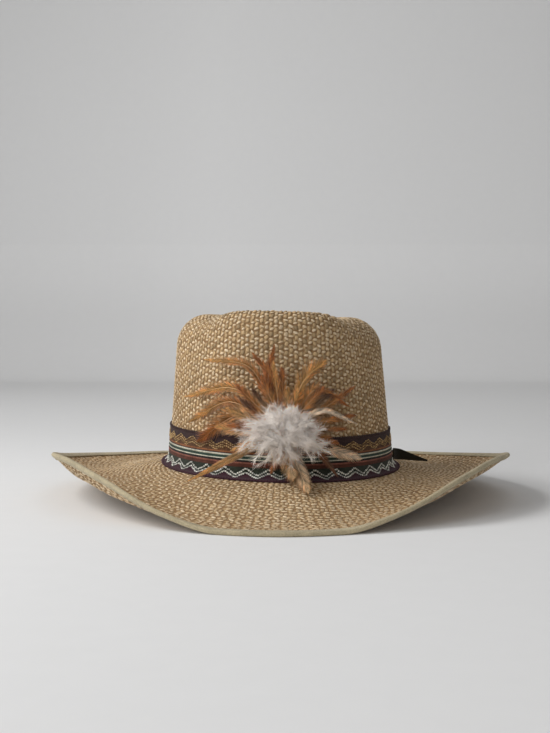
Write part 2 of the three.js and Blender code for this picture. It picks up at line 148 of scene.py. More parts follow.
# The long feathers: where each bends and where it ends, across and up from the middle of the
# cockade as shares of the feather reach, and off the crown as shares of the hub's stand. Width is a
# share of the feather width, and roll turns the vane about its shaft in degrees. Blunt says how far
# towards its tip a feather is widest, and fluff how much of it is downy.
FeatherRow = namedtuple(
    "FeatherRow",
    "bend_across bend_up bend_off tip_across tip_up tip_off width roll root tip blunt fluff",
)
FEATHERS = [
    FeatherRow(-0.19, 0.52, 1.1, -0.12, 0.97, 1.5, 0.9, 10, "rust", "rust", 0.9, 0.3),
    FeatherRow(-0.2, 0.66, 1.2, -0.36, 0.88, 1.8, 1.0, -20, "gold", "rust", 0.9, 0.3),
    FeatherRow(-0.4, 0.72, 1.4, -0.94, 0.8, 2.2, 0.9, 15, "rust", "gold", 0.8, 0.3),
    FeatherRow(-0.56, 0.47, 1.2, -1.18, 0.35, 2.4, 1.1, 0, "gold", "gold", 0.8, 0.3),
    FeatherRow(-0.62, 0.32, 1.1, -1.12, 0.06, 2, 1.1, -12, "rust", "gold", 0.9, 0.3),
    FeatherRow(-0.52, 0.17, 1.1, -1.02, -0.16, 1.8, 1.6, 8, "gold", "rust", 1.0, 0.3),
    FeatherRow(-0.58, -0.3, 2, -1.1, -0.57, 6, 0.75, 0, "tan", "gold", 0.6, 0.06),
    FeatherRow(0.22, 0.58, 1.2, 0.46, 0.79, 1.8, 1.2, 12, "gold", "gold", 1.4, 0.2),
    FeatherRow(0.42, 0.23, 2.4, 0.82, 0.07, 3.0, 0.6, -10, "cream", "cream", 0.8, 0.1),
    FeatherRow(0.34, 0.46, 1.1, 0.74, 0.26, 1.6, 0.9, 20, "gold", "rust", 0.8, 0.2),
    FeatherRow(0.52, -0.22, 1.6, 0.87, -0.34, 3.0, 1.0, 0, "tan", "cream", 1.4, 0.1),
    FeatherRow(0.13, -0.36, 1.7, 0.26, -0.64, 4.6, 1.4, 0, "cream", "tan", 0.9, 0.06),
    FeatherRow(0.03, -0.33, 1.4, 0.1, -0.5, 3.0, 1.3, 12, "tan", "tan", 1.1, 0.08),
    FeatherRow(0.42, -0.3, 1.3, 0.6, -0.52, 2.6, 0.6, 0, "rust", "bark", 1.0, 0.2),
]

# Short feathers that cover the quills: the way each points in degrees from straight up towards the
# wearer's left, its length as a share of the feather reach, how far off the crown, and its colours.
CovertRow = namedtuple("CovertRow", "points length off width root tip")
COVERTS = [
    CovertRow(-3, 0.72, 1.3, 1.2, "gold", "rust"),
    CovertRow(-14, 0.8, 1.5, 1.1, "rust", "gold"),
    CovertRow(-24, 0.68, 1.7, 1.1, "gold", "rust"),
    CovertRow(-38, 0.6, 1.35, 1.0, "tan", "bark"),
    CovertRow(-50, 0.76, 1.6, 1.2, "gold", "rust"),
    CovertRow(-60, 0.62, 1.7, 1.0, "rust", "bark"),
    CovertRow(-70, 0.72, 1.4, 1.3, "tan", "gold"),
    CovertRow(-80, 0.66, 1.6, 1.0, "bark", "rust"),
    CovertRow(-92, 0.8, 1.5, 1.4, "tan", "gold"),
    CovertRow(-106, 0.66, 1.3, 1.0, "gold", "gold"),
    CovertRow(8, 0.5, 1.6, 0.9, "tan", "gold"),
    CovertRow(20, 0.5, 1.4, 1.0, "gold", "gold"),
    CovertRow(38, 0.66, 1.5, 1.1, "gold", "rust"),
    CovertRow(50, 0.72, 1.3, 1.1, "tan", "bark"),
    CovertRow(62, 0.94, 1.6, 1.1, "gold", "rust"),
    CovertRow(74, 0.84, 1.3, 1.1, "gold", "rust"),
    CovertRow(86, 0.7, 2.2, 1.2, "tan", "rust"),
    CovertRow(97, 0.62, 2.6, 1.1, "gold", "rust"),
    CovertRow(108, 0.56, 2.2, 1.0, "rust", "bark"),
    CovertRow(163, 0.68, 2.0, 1.5, "tan", "tan"),
    CovertRow(177, 0.55, 2.2, 1.1, "tan", "gold"),
    CovertRow(-164, 0.5, 1.5, 0.9, "cream", "rust"),
]


def length(name, description, millimetres):
    """A length that a user may change, stored in metres."""
    return FloatProperty(
        name=name, description=description, default=millimetres * MM, unit="LENGTH", precision=5
    )


def share(name, description, value):
    """A share of something, from 0 to 1."""
    return FloatProperty(
        name=name, description=description, default=value, min=0, max=1, subtype="FACTOR"
    )


def slope(name, description, degrees):
    """An angle that a user may change, given here in degrees."""
    return FloatProperty(
        name=name, description=description, default=math.radians(degrees), unit="ROTATION"
    )


def colour(name, description, linear):
    """A linear colour that a user may change."""
    return FloatVectorProperty(
        name=name, description=description, default=linear, min=0, max=1, subtype="COLOR"
    )


class HatFormSizes(bpy.types.PropertyGroup):
    """The form of the blocked straw, as the solid model has it"""

    wall: length("Straw wall", "Thickness of the woven straw", 1.5)
    gap: length("Seam gap", "Clearance between the straw and what is sewn on it", 0.3)
    brim_power: FloatProperty(name="Brim plan", description="Squareness of the brim", default=1.85)
    seam_height: length("Seam height", "Height of the brim at the crown", 21.5)
    seam_radius: length("Seam radius", "Fillet between brim and crown", 6.5)
    seam_slope: slope("Seam slope", "Slope of the brim where it leaves the crown", -7)
    brim_fullness: share("Brim fullness", "How slowly the brim turns up", 0.38)
    curl_height: length("Curl height", "Height of the brim's sides", 33.3)
    curl_angle: slope("Curl angle", "Steepest slope of the brim's edge", 60)
    crown_half_width: length("Crown half width", "Half the crown at the band, across", 85.2)
    crown_half_length: length("Crown half length", "Half the crown at the band, lengthwise", 102.5)
    crown_height: length("Crown height", "Height of the crown's front crest", 138.5)
    taper_side: length("Side taper", "How far the crown's side leans in", 7.2)
    taper_ends: length("End taper", "How far the crown's ends lean in", 11)
    lean: share("Lean", "How much lower the crown stands on the wearer's left", 0.022)
    sway: length("Sway", "Shift of the crown's top to the wearer's right", 1.2)
    shoulder_rise: length("Shoulder rise", "Height of the rounded shoulder", 23)
    shoulder_reach: length("Shoulder reach", "Depth of the rounded shoulder", 24)
    dent_depth: length("Top dent", "Depth of the dent in the top", 18)
    dent_wall: length("Dent wall", "Width of the dent's side", 36)
    pinch_depth: length("Pinch depth", "Depth of the two front pinches", 5)
    pinch_angle: slope("Pinch angle", "Where the pinches are, from the front", 50)
    pinch_spread: slope("Pinch spread", "How wide the pinches are", 17)
    pinch_height: length("Pinch height", "How far down the pinches run", 46)


class WeaveSizes(bpy.types.PropertyGroup):
    """The strands of the straw"""

    columns: IntProperty(name="Strands round", description="Upright strands round the hat", default=144)
    brim_pitch: length("Brim pitch", "Distance between rows on the brim", 2.2)
    crown_pitch: length("Crown pitch", "Distance between rows on the crown", 2.3)
    closest: length("Closest strands", "Strands nearer than this are halved in number", 2.3)
    widest: length("Widest strand", "Upright strands wider than this are split in two", 4.6)
    float_start: length("Float start", "Length of a light strand that no column adds", 2.7)
    float_share: share("Float share", "Share of a column that a light strand adds", 0.27)
    float_height: length("Float height", "How proud a light strand stands on the crown", 0.42)
    brim_height: length("Brim float height", "How proud a light strand stands on the brim", 0.3)
    under_height: length("Inner height", "How proud the strands stand inside", 0.3)
    slant: slope("Slant", "Slant of the light strands", -17)
    lean: slope("Lean", "Lean of the upright strands", 18)
    light: colour("Light straw", "Colour of the cross strands", (0.70, 0.53, 0.335))
    pale: colour("Pale straw", "Colour of the palest cross strands", (0.86, 0.695, 0.48))
    brown: colour("Brown straw", "Colour of the upright strands", (0.54, 0.375, 0.2))
    # Deep straw is the straw's own dark tone with painted shadow between the strands.
    deep: colour("Deep straw", "Colour between the strands", (0.285, 0.17, 0.08))


class TrimSizes(bpy.types.PropertyGroup):
    """The binding, the braid and its loose end"""

    binding_width: length("Binding width", "Width of the ribbon over the brim", 5.5)
    binding_wall: length("Binding wall", "Thickness that the solid ribbon has", 0.8)
    binding_colour: colour("Binding", "Colour of the ribbon", (0.48, 0.405, 0.26))
    stitch_pitch: length("Stitch pitch", "Distance between the binding's stitches", 3.2)
    braid_height: length("Braid height", "Height of the braid", 30)
    braid_wall: length("Braid wall", "Thickness of the braid", 0.9)
    zigzag_period: length("Zigzag period", "Length of one zigzag of the braid", 17.4)
    tail_reach: length("Tail reach", "How far the loose end stands out", 27)
    tail_width: length("Tail width", "Width of the loose end", 8.5)
    tail_wall: length("Tail wall", "Thickness of the loose end", 1.2)
    tail_azimuth: slope("Tail azimuth", "Where the loose end starts, from the front", 86)
    tail_rise: length("Tail rise", "Height of the loose end over the crown's foot", 3)
    tail_drop: length("Tail drop", "How far the loose end falls", 5)


class CockadeSizes(bpy.types.PropertyGroup):
    """The feathers and the down"""

    across: length("Across", "Middle of the cockade, towards the wearer's left", 3)
    up: length("Up", "Height of the cockade's middle", 57)
    hub_radius: length("Hub radius", "Radius of the sewn hub", 11)
    hub_stand: length("Hub stand", "How far the hub stands off the straw", 7)
    feather_reach: length("Feather reach", "Length that the feathers' places are shares of", 60)
    feather_width: length("Feather width", "Width of a feather", 7)
    feather_rise: length("Feather rise", "Where the feathers leave the hub", 4.3)
    puff_half_width: length("Down half width", "Half the down, across", 33)
    puff_half_height: length("Down half height", "Half the down, upright", 21)
    puff_depth: length("Down depth", "Depth of the down", 18)
    barb_pitch: length("Barb pitch", "Distance between the barbs of a feather", 0.2)
    fluff: share("Fluff", "Share of a short feather that is fluffy, from its root", 0.4)
    tufts: IntProperty(name="Tufts", description="Tufts of down", default=150)
    white: colour("White down", "Colour of the down", (0.99, 0.96, 0.92))
    # Ash down is partly the down's own darker tone and partly painted shade between the tufts.
    ash: colour("Ash down", "Colour of the darker down", (0.60, 0.52, 0.47))


class StageSizes(bpy.types.PropertyGroup):
    """The camera and the studio"""

    distance: length("Distance", "Camera to the middle of the hat", 870)
    eye_height: length("Eye height", "Height of the camera", 135.1)
    aim_across: length("Aim across", "Where the camera looks, across", -4.3)
    aim_height: length("Aim height", "How high the camera looks", 96.1)
    lens: FloatProperty(name="Lens", description="Focal length in millimetres", default=55.28)
    wall_back: length("Wall", "Distance from the hat to the studio's wall", 1700)
    cove: length("Cove", "Radius between floor and wall", 300)


# The form of the straw


def table_at(rows, column, degrees):
    """A column of a table at any azimuths, smooth between its rows and flat across its ends."""
    knots = np.array([row.azimuth for row in rows], float)
    values = np.array([getattr(row, column) for row in rows], float)
    slopes = np.zeros(len(rows))
    rises = np.diff(values)
    chords = (values[2:] - values[:-2]) / (knots[2:] - knots[:-2])
    slopes[1:-1] = np.where(rises[1:] * rises[:-1] > 0, chords, 0)
    at = np.abs(degrees)
    start = np.clip(np.searchsorted(knots, at) - 1, 0, len(rows) - 2)
    span = knots[start + 1] - knots[start]
    t = (at - knots[start]) / span
    ease = t * t * (3 - 2 * t)
    leaving = t * (1 - t) ** 2 * span * slopes[start]
    arriving = t * t * (t - 1) * span * slopes[start + 1]
    return values[start] * (1 - ease) + values[start + 1] * ease + leaving + arriving


def oval(half_width, half_length, azimuth, power=2.0):
    """Points of an oval seen from above, at azimuths in radians from the front."""
    across, along = np.sin(azimuth), -np.cos(azimuth)
    x = half_width * np.sign(across) * np.abs(across) ** (2 / power)
    y = half_length * np.sign(along) * np.abs(along) ** (2 / power)
    return np.stack([x, y], -1)


def unit(vectors):
    """Vectors of length one."""
    return vectors / np.maximum(np.linalg.norm(vectors, axis=-1, keepdims=True), 1e-12)


class HatForm:
    """Sections of the straw's outer face, by the solid model's rules and at any fineness."""

    SEAM_STEPS = 8
    BRAID_SEAM_STEPS = 10
    SHOULDER_STEPS = 20

    def __init__(self, form, trim):
        self.form, self.trim = form, trim
        self.brim_half_width = (BRIM_HIGH.x - BRIM_LOW.x) / 2
        self.brim_half_length = (BRIM_HIGH.y - BRIM_LOW.y) / 2
        self.shoulder_height = form.crown_height - form.shoulder_rise
        self.wall_foot = form.seam_height + form.seam_radius
        self.braid_top = form.seam_height + trim.braid_height
        self.braid_face = form.gap + trim.braid_wall

    def wall_oval(self, azimuth, height):
        """The oval of the crown wall at a height, before its dents."""
        form = self.form
        climb = np.maximum(height - self.wall_foot, 0) / (self.shoulder_height - self.wall_foot)
        half_width = form.crown_half_width - form.taper_side * climb
        half_length = form.crown_half_length - form.taper_ends * climb
        plan = oval(half_width, half_length, azimuth)
        plan[..., 0] -= form.sway * climb
        return plan

    def pinch(self, azimuth, height):
        """How deep the two front pinches press in."""
        form = self.form
        aside = (np.abs(azimuth) - form.pinch_angle) / form.pinch_spread
        below = (form.crown_height - height) / form.pinch_height
        return form.pinch_depth * np.exp(-aside * aside) * np.exp(-below * below)

    def leaned(self, plan, height, part=1.0):
        """Points over a plan, a little lower on the wearer's left."""
        drop = self.form.lean * plan[..., 0] * part
        return np.concatenate([plan, (height - drop)[..., None]], -1)

    def wall_points(self, azimuth, height):
        """Points of the crown wall."""
        plan = self.wall_oval(azimuth, height)
        radius = np.linalg.norm(plan, axis=-1)
        plan *= ((radius - self.pinch(azimuth, height)) / radius)[..., None]
        return self.leaned(plan, height)

    def brim_frame(self, azimuth):
        """The crown's foot, the way out from it, the reach, and the curl and height of the edge."""
        form = self.form
        foot = oval(form.crown_half_width, form.crown_half_length, azimuth)
        edge = oval(self.brim_half_width, self.brim_half_length, azimuth, form.brim_power)
        reach = np.linalg.norm(edge - foot, axis=-1)
        degrees = np.degrees(azimuth)
        right = table_at(BRIM_EDGE, "curl_right", degrees)
        left = table_at(BRIM_EDGE, "curl_left", degrees)
        curl = form.curl_angle * np.where(azimuth < 0, right, left)
        rise = table_at(BRIM_EDGE, "height", degrees) * form.curl_height
        return foot, unit(edge - foot), reach, curl, rise

    def seam_fillet(self, steps):
        """The fillet between brim and crown: out from the crown's foot, and the height."""
        radius = self.form.seam_radius
        turn = np.linspace(0, math.pi / 2, steps)
        return np.stack([radius * (1 - np.sin(turn)), self.wall_foot - radius * np.cos(turn)], -1)

    def brim_section(self, azimuth, steps):
        """The outer face from the brim's edge to the foot of the crown's wall."""
        form, trim = self.form, self.trim
        foot, outward, reach, curl, rise = self.brim_frame(azimuth)
        lift = trim.binding_wall + form.gap + form.wall
        land = trim.binding_width + 2 * form.gap
        land_reach = reach - land * np.cos(curl)
        land_rise = rise + lift - land * np.sin(curl)
        pull = form.brim_fullness * (reach - form.seam_radius)
        corners = [
            (np.full_like(reach, form.seam_radius), np.full_like(reach, form.seam_height)),
            (
                form.seam_radius + pull * math.cos(form.seam_slope),
                form.seam_height + pull * math.sin(form.seam_slope),
            ),
            (land_reach - pull * np.cos(curl), land_rise - pull * np.sin(curl)),
            (land_reach, land_rise),
        ]
        t = np.linspace(1, 0, steps)[None, :, None]
        weights = [(1 - t) ** 3, 3 * t * (1 - t) ** 2, 3 * t * t * (1 - t), t**3]
        curve = sum(w * np.stack(c, -1)[:, None, :] for w, c in zip(weights, corners))
        edge = np.stack([reach, rise + lift], -1)[:, None, :]
        fillet = self.seam_fillet(self.SEAM_STEPS)[1:]
        fillet = np.broadcast_to(fillet, (len(azimuth), *fillet.shape))
        section = np.concatenate([edge, curve, fillet], 1)
        out, height = section[..., 0], section[..., 1]
        plan = foot[:, None, :] + outward[:, None, :] * out[..., None]
        spread = (out - form.seam_radius) / (land_reach[:, None] - form.seam_radius)
        return self.leaned(plan, height, np.clip(1 - spread, 0, 1))

    def wall_section(self, azimuth, steps):
        """The outer face from the foot of the wall over the shoulder to the crest."""
        crest, reach, rise = self.crest(azimuth)
        start = crest - rise
        climb = np.linspace(0, 1, steps)[None, :]
        heights = self.wall_foot + (start[:, None] - self.wall_foot) * climb
        wall = self.wall_points(azimuth[:, None], heights)
        shoulder = self.wall_oval(azimuth, start)
        rim = np.linalg.norm(shoulder, axis=-1)
        turn = np.linspace(0, math.pi / 2, self.SHOULDER_STEPS)[None, 1:]
        heights = start[:, None] + rise[:, None] * np.sin(turn)
        pinch = self.pinch(azimuth[:, None], heights)
        radius = rim[:, None] - reach[:, None] * (1 - np.cos(turn)) - pinch
        plan = unit(shoulder)[:, None, :] * radius[..., None]
        return np.concatenate([wall, self.leaned(plan, heights)], 1)

    def crest(self, azimuth):
        """Height of the crest, and the reach and rise of the shoulder under it."""
        form, degrees = self.form, np.degrees(azimuth)
        return (
            form.crown_height * table_at(CROWN_CREST, "height", degrees),
            form.shoulder_reach * table_at(CROWN_CREST, "reach", degrees),
            form.shoulder_rise * table_at(CROWN_CREST, "rise", degrees),
        )

    def top_section(self, azimuth, steps):
        """The outer face from the crest down into the dent and to its middle."""
        form = self.form
        crest, reach, rise = self.crest(azimuth)
        shoulder = self.wall_oval(azimuth, crest - rise)
        rim = np.linalg.norm(shoulder, axis=-1)
        top = rim - reach - self.pinch(azimuth, crest)
        inward = np.linspace(0, 1, steps)[None, :]
        inside = np.minimum(top[:, None] * inward / form.dent_wall, 1)
        fall = (1 - np.cos(math.pi * inside)) / 2
        floor = form.crown_height - form.dent_depth
        heights = crest[:, None] + (floor - crest[:, None]) * fall
        plan = unit(shoulder)[:, None, :] * (top[:, None] * (1 - inward))[..., None]
        return self.leaned(plan, heights)

    def braid_section(self, azimuth, steps):
        """The outer face behind the braid, from the brim's seam to the braid's upper edge."""
        foot, outward, *_ = self.brim_frame(azimuth)
        fillet = self.seam_fillet(self.BRAID_SEAM_STEPS)
        plan = foot[:, None, :] + outward[:, None, :] * fillet[None, :, :1]
        seam = self.leaned(plan, np.broadcast_to(fillet[:, 1], plan.shape[:2]))
        climb = np.linspace(0, 1, steps)[None, 1:]
        heights = self.wall_foot + (self.braid_top - self.wall_foot) * climb
        heights = np.broadcast_to(heights, (len(azimuth), steps - 1))
        wall = self.wall_points(azimuth[:, None], heights)
        return np.concatenate([seam, wall], 1)


class Face:
    """A face of the hat as a fine grid that is read at any place.

    turn runs from 0 to 1 from the back round by the wearer's right. climb runs from 0 to 1 over each
    stretch in turn, evenly along the surface.
    """

    TURNS = 576
    ROWS = 96

    def __init__(self, *stretches):
        grids = [self.evenly(stretch) for stretch in stretches]
        joined = [grids[0]] + [grid[:, 1:] for grid in grids[1:]]
        self.points = np.concatenate(joined, 1)
        self.stretches = len(grids)
        ahead = np.roll(self.points, -1, 0) - np.roll(self.points, 1, 0)
        self.around = unit(ahead)
        self.normals = unit(np.cross(self.around, unit(np.gradient(self.points, axis=1))))
        if self.stretches > 1:
            self.normals[:, -1] = (0, 0, 1)

    @classmethod
    def azimuths(cls):
        """Azimuths of the grid in radians."""
        return np.linspace(-math.pi, math.pi, cls.TURNS, endpoint=False)

    @classmethod
    def evenly(cls, sections):
        """The sections with their points set evenly along them."""
        steps = np.linalg.norm(np.diff(sections, axis=1), axis=2)
        run = np.concatenate([np.zeros((len(steps), 1)), np.cumsum(steps, 1)], 1)
        even = np.empty((len(sections), cls.ROWS + 1, 3))
        for index, (section, along) in enumerate(zip(sections, run)):
            at = np.linspace(0, along[-1], cls.ROWS + 1)
            for axis in range(3):
                even[index, :, axis] = np.interp(at, along, section[:, axis])
        return even

    def read(self, grid, turn, climb):
        """A grid's values at places, between its points."""
        column = (np.asarray(turn) % 1) * self.TURNS
        row = np.clip(np.asarray(climb), 0, self.stretches) * self.ROWS
        c0 = np.floor(column).astype(int) % self.TURNS
        r0 = np.minimum(np.floor(row).astype(int), self.points.shape[1] - 2)
        c1 = (c0 + 1) % self.TURNS
        u, v = (column - np.floor(column))[..., None], (row - r0)[..., None]
        near = grid[c0, r0] * (1 - u) + grid[c1, r0] * u
        far = grid[c0, r0 + 1] * (1 - u) + grid[c1, r0 + 1] * u
        return near * (1 - v) + far * v

    def at(self, turn, climb, off=0.0):
        """Points at a distance off the face, and its normals there."""
        turn, climb = np.broadcast_arrays(turn, climb)
        normals = unit(self.read(self.normals, turn, climb))
        return self.read(self.points, turn, climb) + normals * np.asarray(off)[..., None], normals

    def frame(self, turn, climb, off=0.0):
        """Points off the face, its normals, and the ways round the hat and up the face there."""
        turn, climb = np.broadcast_arrays(turn, climb)
        points, normals = self.at(turn, climb, off)
        around = unit(self.read(self.around, turn, climb))
        return points, normals, around, unit(np.cross(normals, around))

    def length(self, stretch):
        """Mean length of a stretch from its start to its end."""
        rows = self.points[:, stretch * self.ROWS : (stretch + 1) * self.ROWS + 1]
        return np.linalg.norm(np.diff(rows, axis=1), axis=2).sum(1).mean()

    def girth(self, climb):
        """Distance round the hat at a climb."""
        ring = self.read(self.points, np.arange(self.TURNS) / self.TURNS, climb)
        return np.linalg.norm(np.roll(ring, -1, 0) - ring, axis=1).sum()


@cache
def hat_form():
    """The form of the hat, worked out once."""
    scene = bpy.context.scene
    return HatForm(scene.hat_form, scene.hat_trim)


@cache
def straw_face():
    """The outer face of the straw: brim, wall and top."""
    form, azimuth = hat_form(), Face.azimuths()
    return Face(
        form.brim_section(azimuth, 40),
        form.wall_section(azimuth, 30),
        form.top_section(azimuth, 40),
    )


@cache
def braid_face():
    """The straw's face behind the braid."""
    return Face(hat_form().braid_section(Face.azimuths(), 20))


# Meshes


def skin(shape, around=True, along=False, flip=False):
    """Quads and their UVs over a grid of rows and columns, closed round its columns or its rows."""
    rows, columns = shape
    r, c = np.meshgrid(
        np.arange(rows if along else rows - 1),
        np.arange(columns if around else columns - 1),
        indexing="ij",
    )
    r, c = r.ravel(), c.ravel()
    corners = [(r, c), (r, c + 1), (r + 1, c + 1), (r + 1, c)]
    if flip:
        corners.reverse()
    quads = np.stack([(a % rows) * columns + b % columns for a, b in corners], -1)
    wide = columns if around else columns - 1
    high = rows if along else rows - 1
    uvs = np.stack([np.stack([b / wide, a / high], -1) for a, b in corners], 1)
    return quads, uvs


def fans(columns, last_row, poles, flip=False):
    """Triangles that close a grid at its first and its last row, each round a pole."""
    faces = []
    for step in range(columns):
        after = (step + 1) % columns
        faces.append([poles[0], step, after])
        faces.append([poles[1], last_row + after, last_row + step])
    return [face[::-1] for face in faces] if flip else faces


def new_mesh(name, points, faces, uvs=None):
    """A smooth mesh from arrays."""
    mesh = bpy.data.meshes.new(name)
    mesh.from_pydata(np.asarray(points).reshape(-1, 3).tolist(), [], [list(f) for f in faces])
    mesh.polygons.foreach_set("use_smooth", [True] * len(mesh.polygons))
    if uvs is not None:
        layer = mesh.uv_layers.new(name="UVMap")
        layer.data.foreach_set("uv", np.asarray(uvs, np.float32).ravel())
    mesh.update()
    return mesh


def add_piece(name, mesh, finish, slot, *replaced):
    """Puts a mesh in the scene as a piece of the hat."""
    piece = bpy.data.objects.new(name, mesh)
    mesh.name = name
    bpy.context.scene.collection.objects.link(piece)
    if not mesh.materials:
        mesh.materials.append(finish)
    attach(piece, BODY)
    if replaced:
        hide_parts(*replaced)
    return piece


def set_attribute(mesh, name, kind, values):
    """Stores a value for every point of a mesh."""
    field = {"FLOAT": "value", "FLOAT_VECTOR": "vector", "FLOAT_COLOR": "color"}[kind]
    attribute = mesh.attributes.new(name, kind, "POINT")
    attribute.data.foreach_set(field, np.asarray(values, np.float32).ravel())


def with_alpha(colours):
    """Linear colours with an alpha of one."""
    colours = np.asarray(colours, float)
    return np.concatenate([colours, np.ones((*colours.shape[:-1], 1))], -1)


# Small shapes that are laid many times: unit length along X, unit width along Y, up +Z

# Width of a grain's back as a share of its foot
GRAIN_BACK = 0.55


def ridge_shape(name, sections):
    """A closed pointed sliver whose sections are (along, half width, height, sides up)."""
    points, faces, rings = [], [], []
    for along, half, height, bend in sections:
        start = len(points)
        points += [(along, -half, bend), (along, half, bend), (along, 0, bend + height)]
        rings.append([start, start + 1, start + 2])
    for near, far in zip(rings, rings[1:]):
        for side in range(3):
            other = (side + 1) % 3
            faces.append([near[side], far[side], far[other], near[other]])
    faces.append(rings[0])
    points.append((1, 0, sections[-1][3]))
    last = len(points) - 1
    for side in range(3):
        faces.append([rings[-1][side], last, rings[-1][(side + 1) % 3]])
    return shape_object(name, points, faces)


def grain_shape(name, sections):
    """A closed grain with pointed ends. Its sections are (along, half width, height)."""
    points, faces, rings = [(-0.5, 0, 0)], [], []
    for along, half, height in sections:
        start = len(points)
        points += [
            (along, -half, 0),
            (along, half, 0),
            (along, half * GRAIN_BACK, height),
            (along, -half * GRAIN_BACK, height),
        ]
        rings.append([start, start + 1, start + 2, start + 3])
    points.append((0.5, 0, 0))
    last = len(points) - 1
    for side in range(4):
        other = (side + 1) % 4
        faces.append([0, rings[0][side], rings[0][other]])
        faces.append([rings[-1][side], last, rings[-1][other]])
        for near, far in zip(rings, rings[1:]):
            faces.append([near[side], far[side], far[other], near[other]])
    return shape_object(name, points, faces)


def shape_object(name, points, faces):
    """A small shape as an object outside the scene, with how far along it each point lies."""
    points = np.array(points, float)
    mesh = new_mesh(name, points, faces)
    span = np.ptp(points[:, 0])
    set_attribute(mesh, "along", "FLOAT", (points[:, 0] - points[:, 0].min()) / span)
    return bpy.data.objects.new(name, mesh)


# Geometry Nodes


def laying_tree():
    """The tree that lays one small shape at every point of a mesh.

    Each point says which way the shape faces and lies, and its reach as shares of the sizes.
    """
    if "Lay pieces" in bpy.data.node_groups:
        return bpy.data.node_groups["Lay pieces"]
    tree = bpy.data.node_groups.new("Lay pieces", "GeometryNodeTree")
    tree.is_modifier = True
    inputs = [
        ("Places", "NodeSocketGeometry"),
        ("Shape", "NodeSocketObject"),
        ("Length", "NodeSocketFloat"),
        ("Width", "NodeSocketFloat"),
        ("Height", "NodeSocketFloat"),
        ("Unevenness", "NodeSocketFloat"),
        ("Seed", "NodeSocketInt"),
        ("Finish", "NodeSocketMaterial"),
    ]
    for name, kind in inputs:
        tree.interface.new_socket(name, in_out="INPUT", socket_type=kind)
    tree.interface.new_socket("Pieces", in_out="OUTPUT", socket_type="NodeSocketGeometry")
    nodes, links = tree.nodes, tree.links

    def attribute(name):
        node = nodes.new("GeometryNodeInputNamedAttribute")
        node.data_type = "FLOAT_VECTOR"
        node.inputs["Name"].default_value = name
        return node.outputs["Attribute"]

    def vector(operation, *sources):
        node = nodes.new("ShaderNodeVectorMath")
        node.operation = operation
        for socket, source in zip(node.inputs, sources):
            if isinstance(source, tuple):
                socket.default_value = source
            else:
                links.new(source, socket)
        return node.outputs["Vector"]

    given = nodes.new("NodeGroupInput").outputs
    shape = nodes.new("GeometryNodeObjectInfo")
    links.new(given["Shape"], shape.inputs["Object"])
    turned = nodes.new("FunctionNodeAxesToRotation")
    turned.primary_axis, turned.secondary_axis = "Z", "X"
    links.new(attribute("face"), turned.inputs["Primary Axis"])
    links.new(attribute("lie"), turned.inputs["Secondary Axis"])
    uneven = nodes.new("FunctionNodeRandomValue")
    uneven.data_type = "FLOAT_VECTOR"
    uneven.inputs[0].default_value = (-1, -1, -1)
    uneven.inputs[1].default_value = (1, 1, 1)
    links.new(given["Seed"], uneven.inputs["Seed"])
    amount = nodes.new("ShaderNodeCombineXYZ")
    for socket in amount.inputs:
        links.new(given["Unevenness"], socket)
    sizes = nodes.new("ShaderNodeCombineXYZ")
    for socket, name in zip(sizes.inputs, ("Length", "Width", "Height")):
        links.new(given[name], socket)
    varied = vector("MULTIPLY_ADD", uneven.outputs[0], amount.outputs[0], (1.0, 1.0, 1.0))
    scale = vector("MULTIPLY", vector("MULTIPLY", varied, sizes.outputs[0]), attribute("reach"))
    laid = nodes.new("GeometryNodeInstanceOnPoints")
    links.new(given["Places"], laid.inputs["Points"])
    links.new(shape.outputs["Geometry"], laid.inputs["Instance"])
    links.new(turned.outputs["Rotation"], laid.inputs["Rotation"])
    links.new(scale, laid.inputs["Scale"])
    realized = nodes.new("GeometryNodeRealizeInstances")
    links.new(laid.outputs["Instances"], realized.inputs["Geometry"])
    finished = nodes.new("GeometryNodeSetMaterial")
    links.new(realized.outputs["Geometry"], finished.inputs["Geometry"])
    links.new(given["Finish"], finished.inputs["Material"])
    result = nodes.new("NodeGroupOutput")
    links.new(finished.outputs["Geometry"], result.inputs["Pieces"])
    return tree


class Places:
    """Places that small shapes are laid at: where, which way they face and lie, and how they look."""

    def __init__(self):
        self.rows = []

    def add(self, points, face, lie, reach, tint):
        """Adds places. Each value is one for all of them, or one for each."""
        points = np.asarray(points, float).reshape(-1, 3)
        wide = [np.broadcast_to(np.asarray(v, float), points.shape) for v in (face, lie, reach, tint)]
        self.rows.append(np.concatenate([points, *wide], 1))

    def columns(self):
        """Points, faces, lies, reaches and tints."""
        return np.split(np.concatenate(self.rows), 5, axis=1)


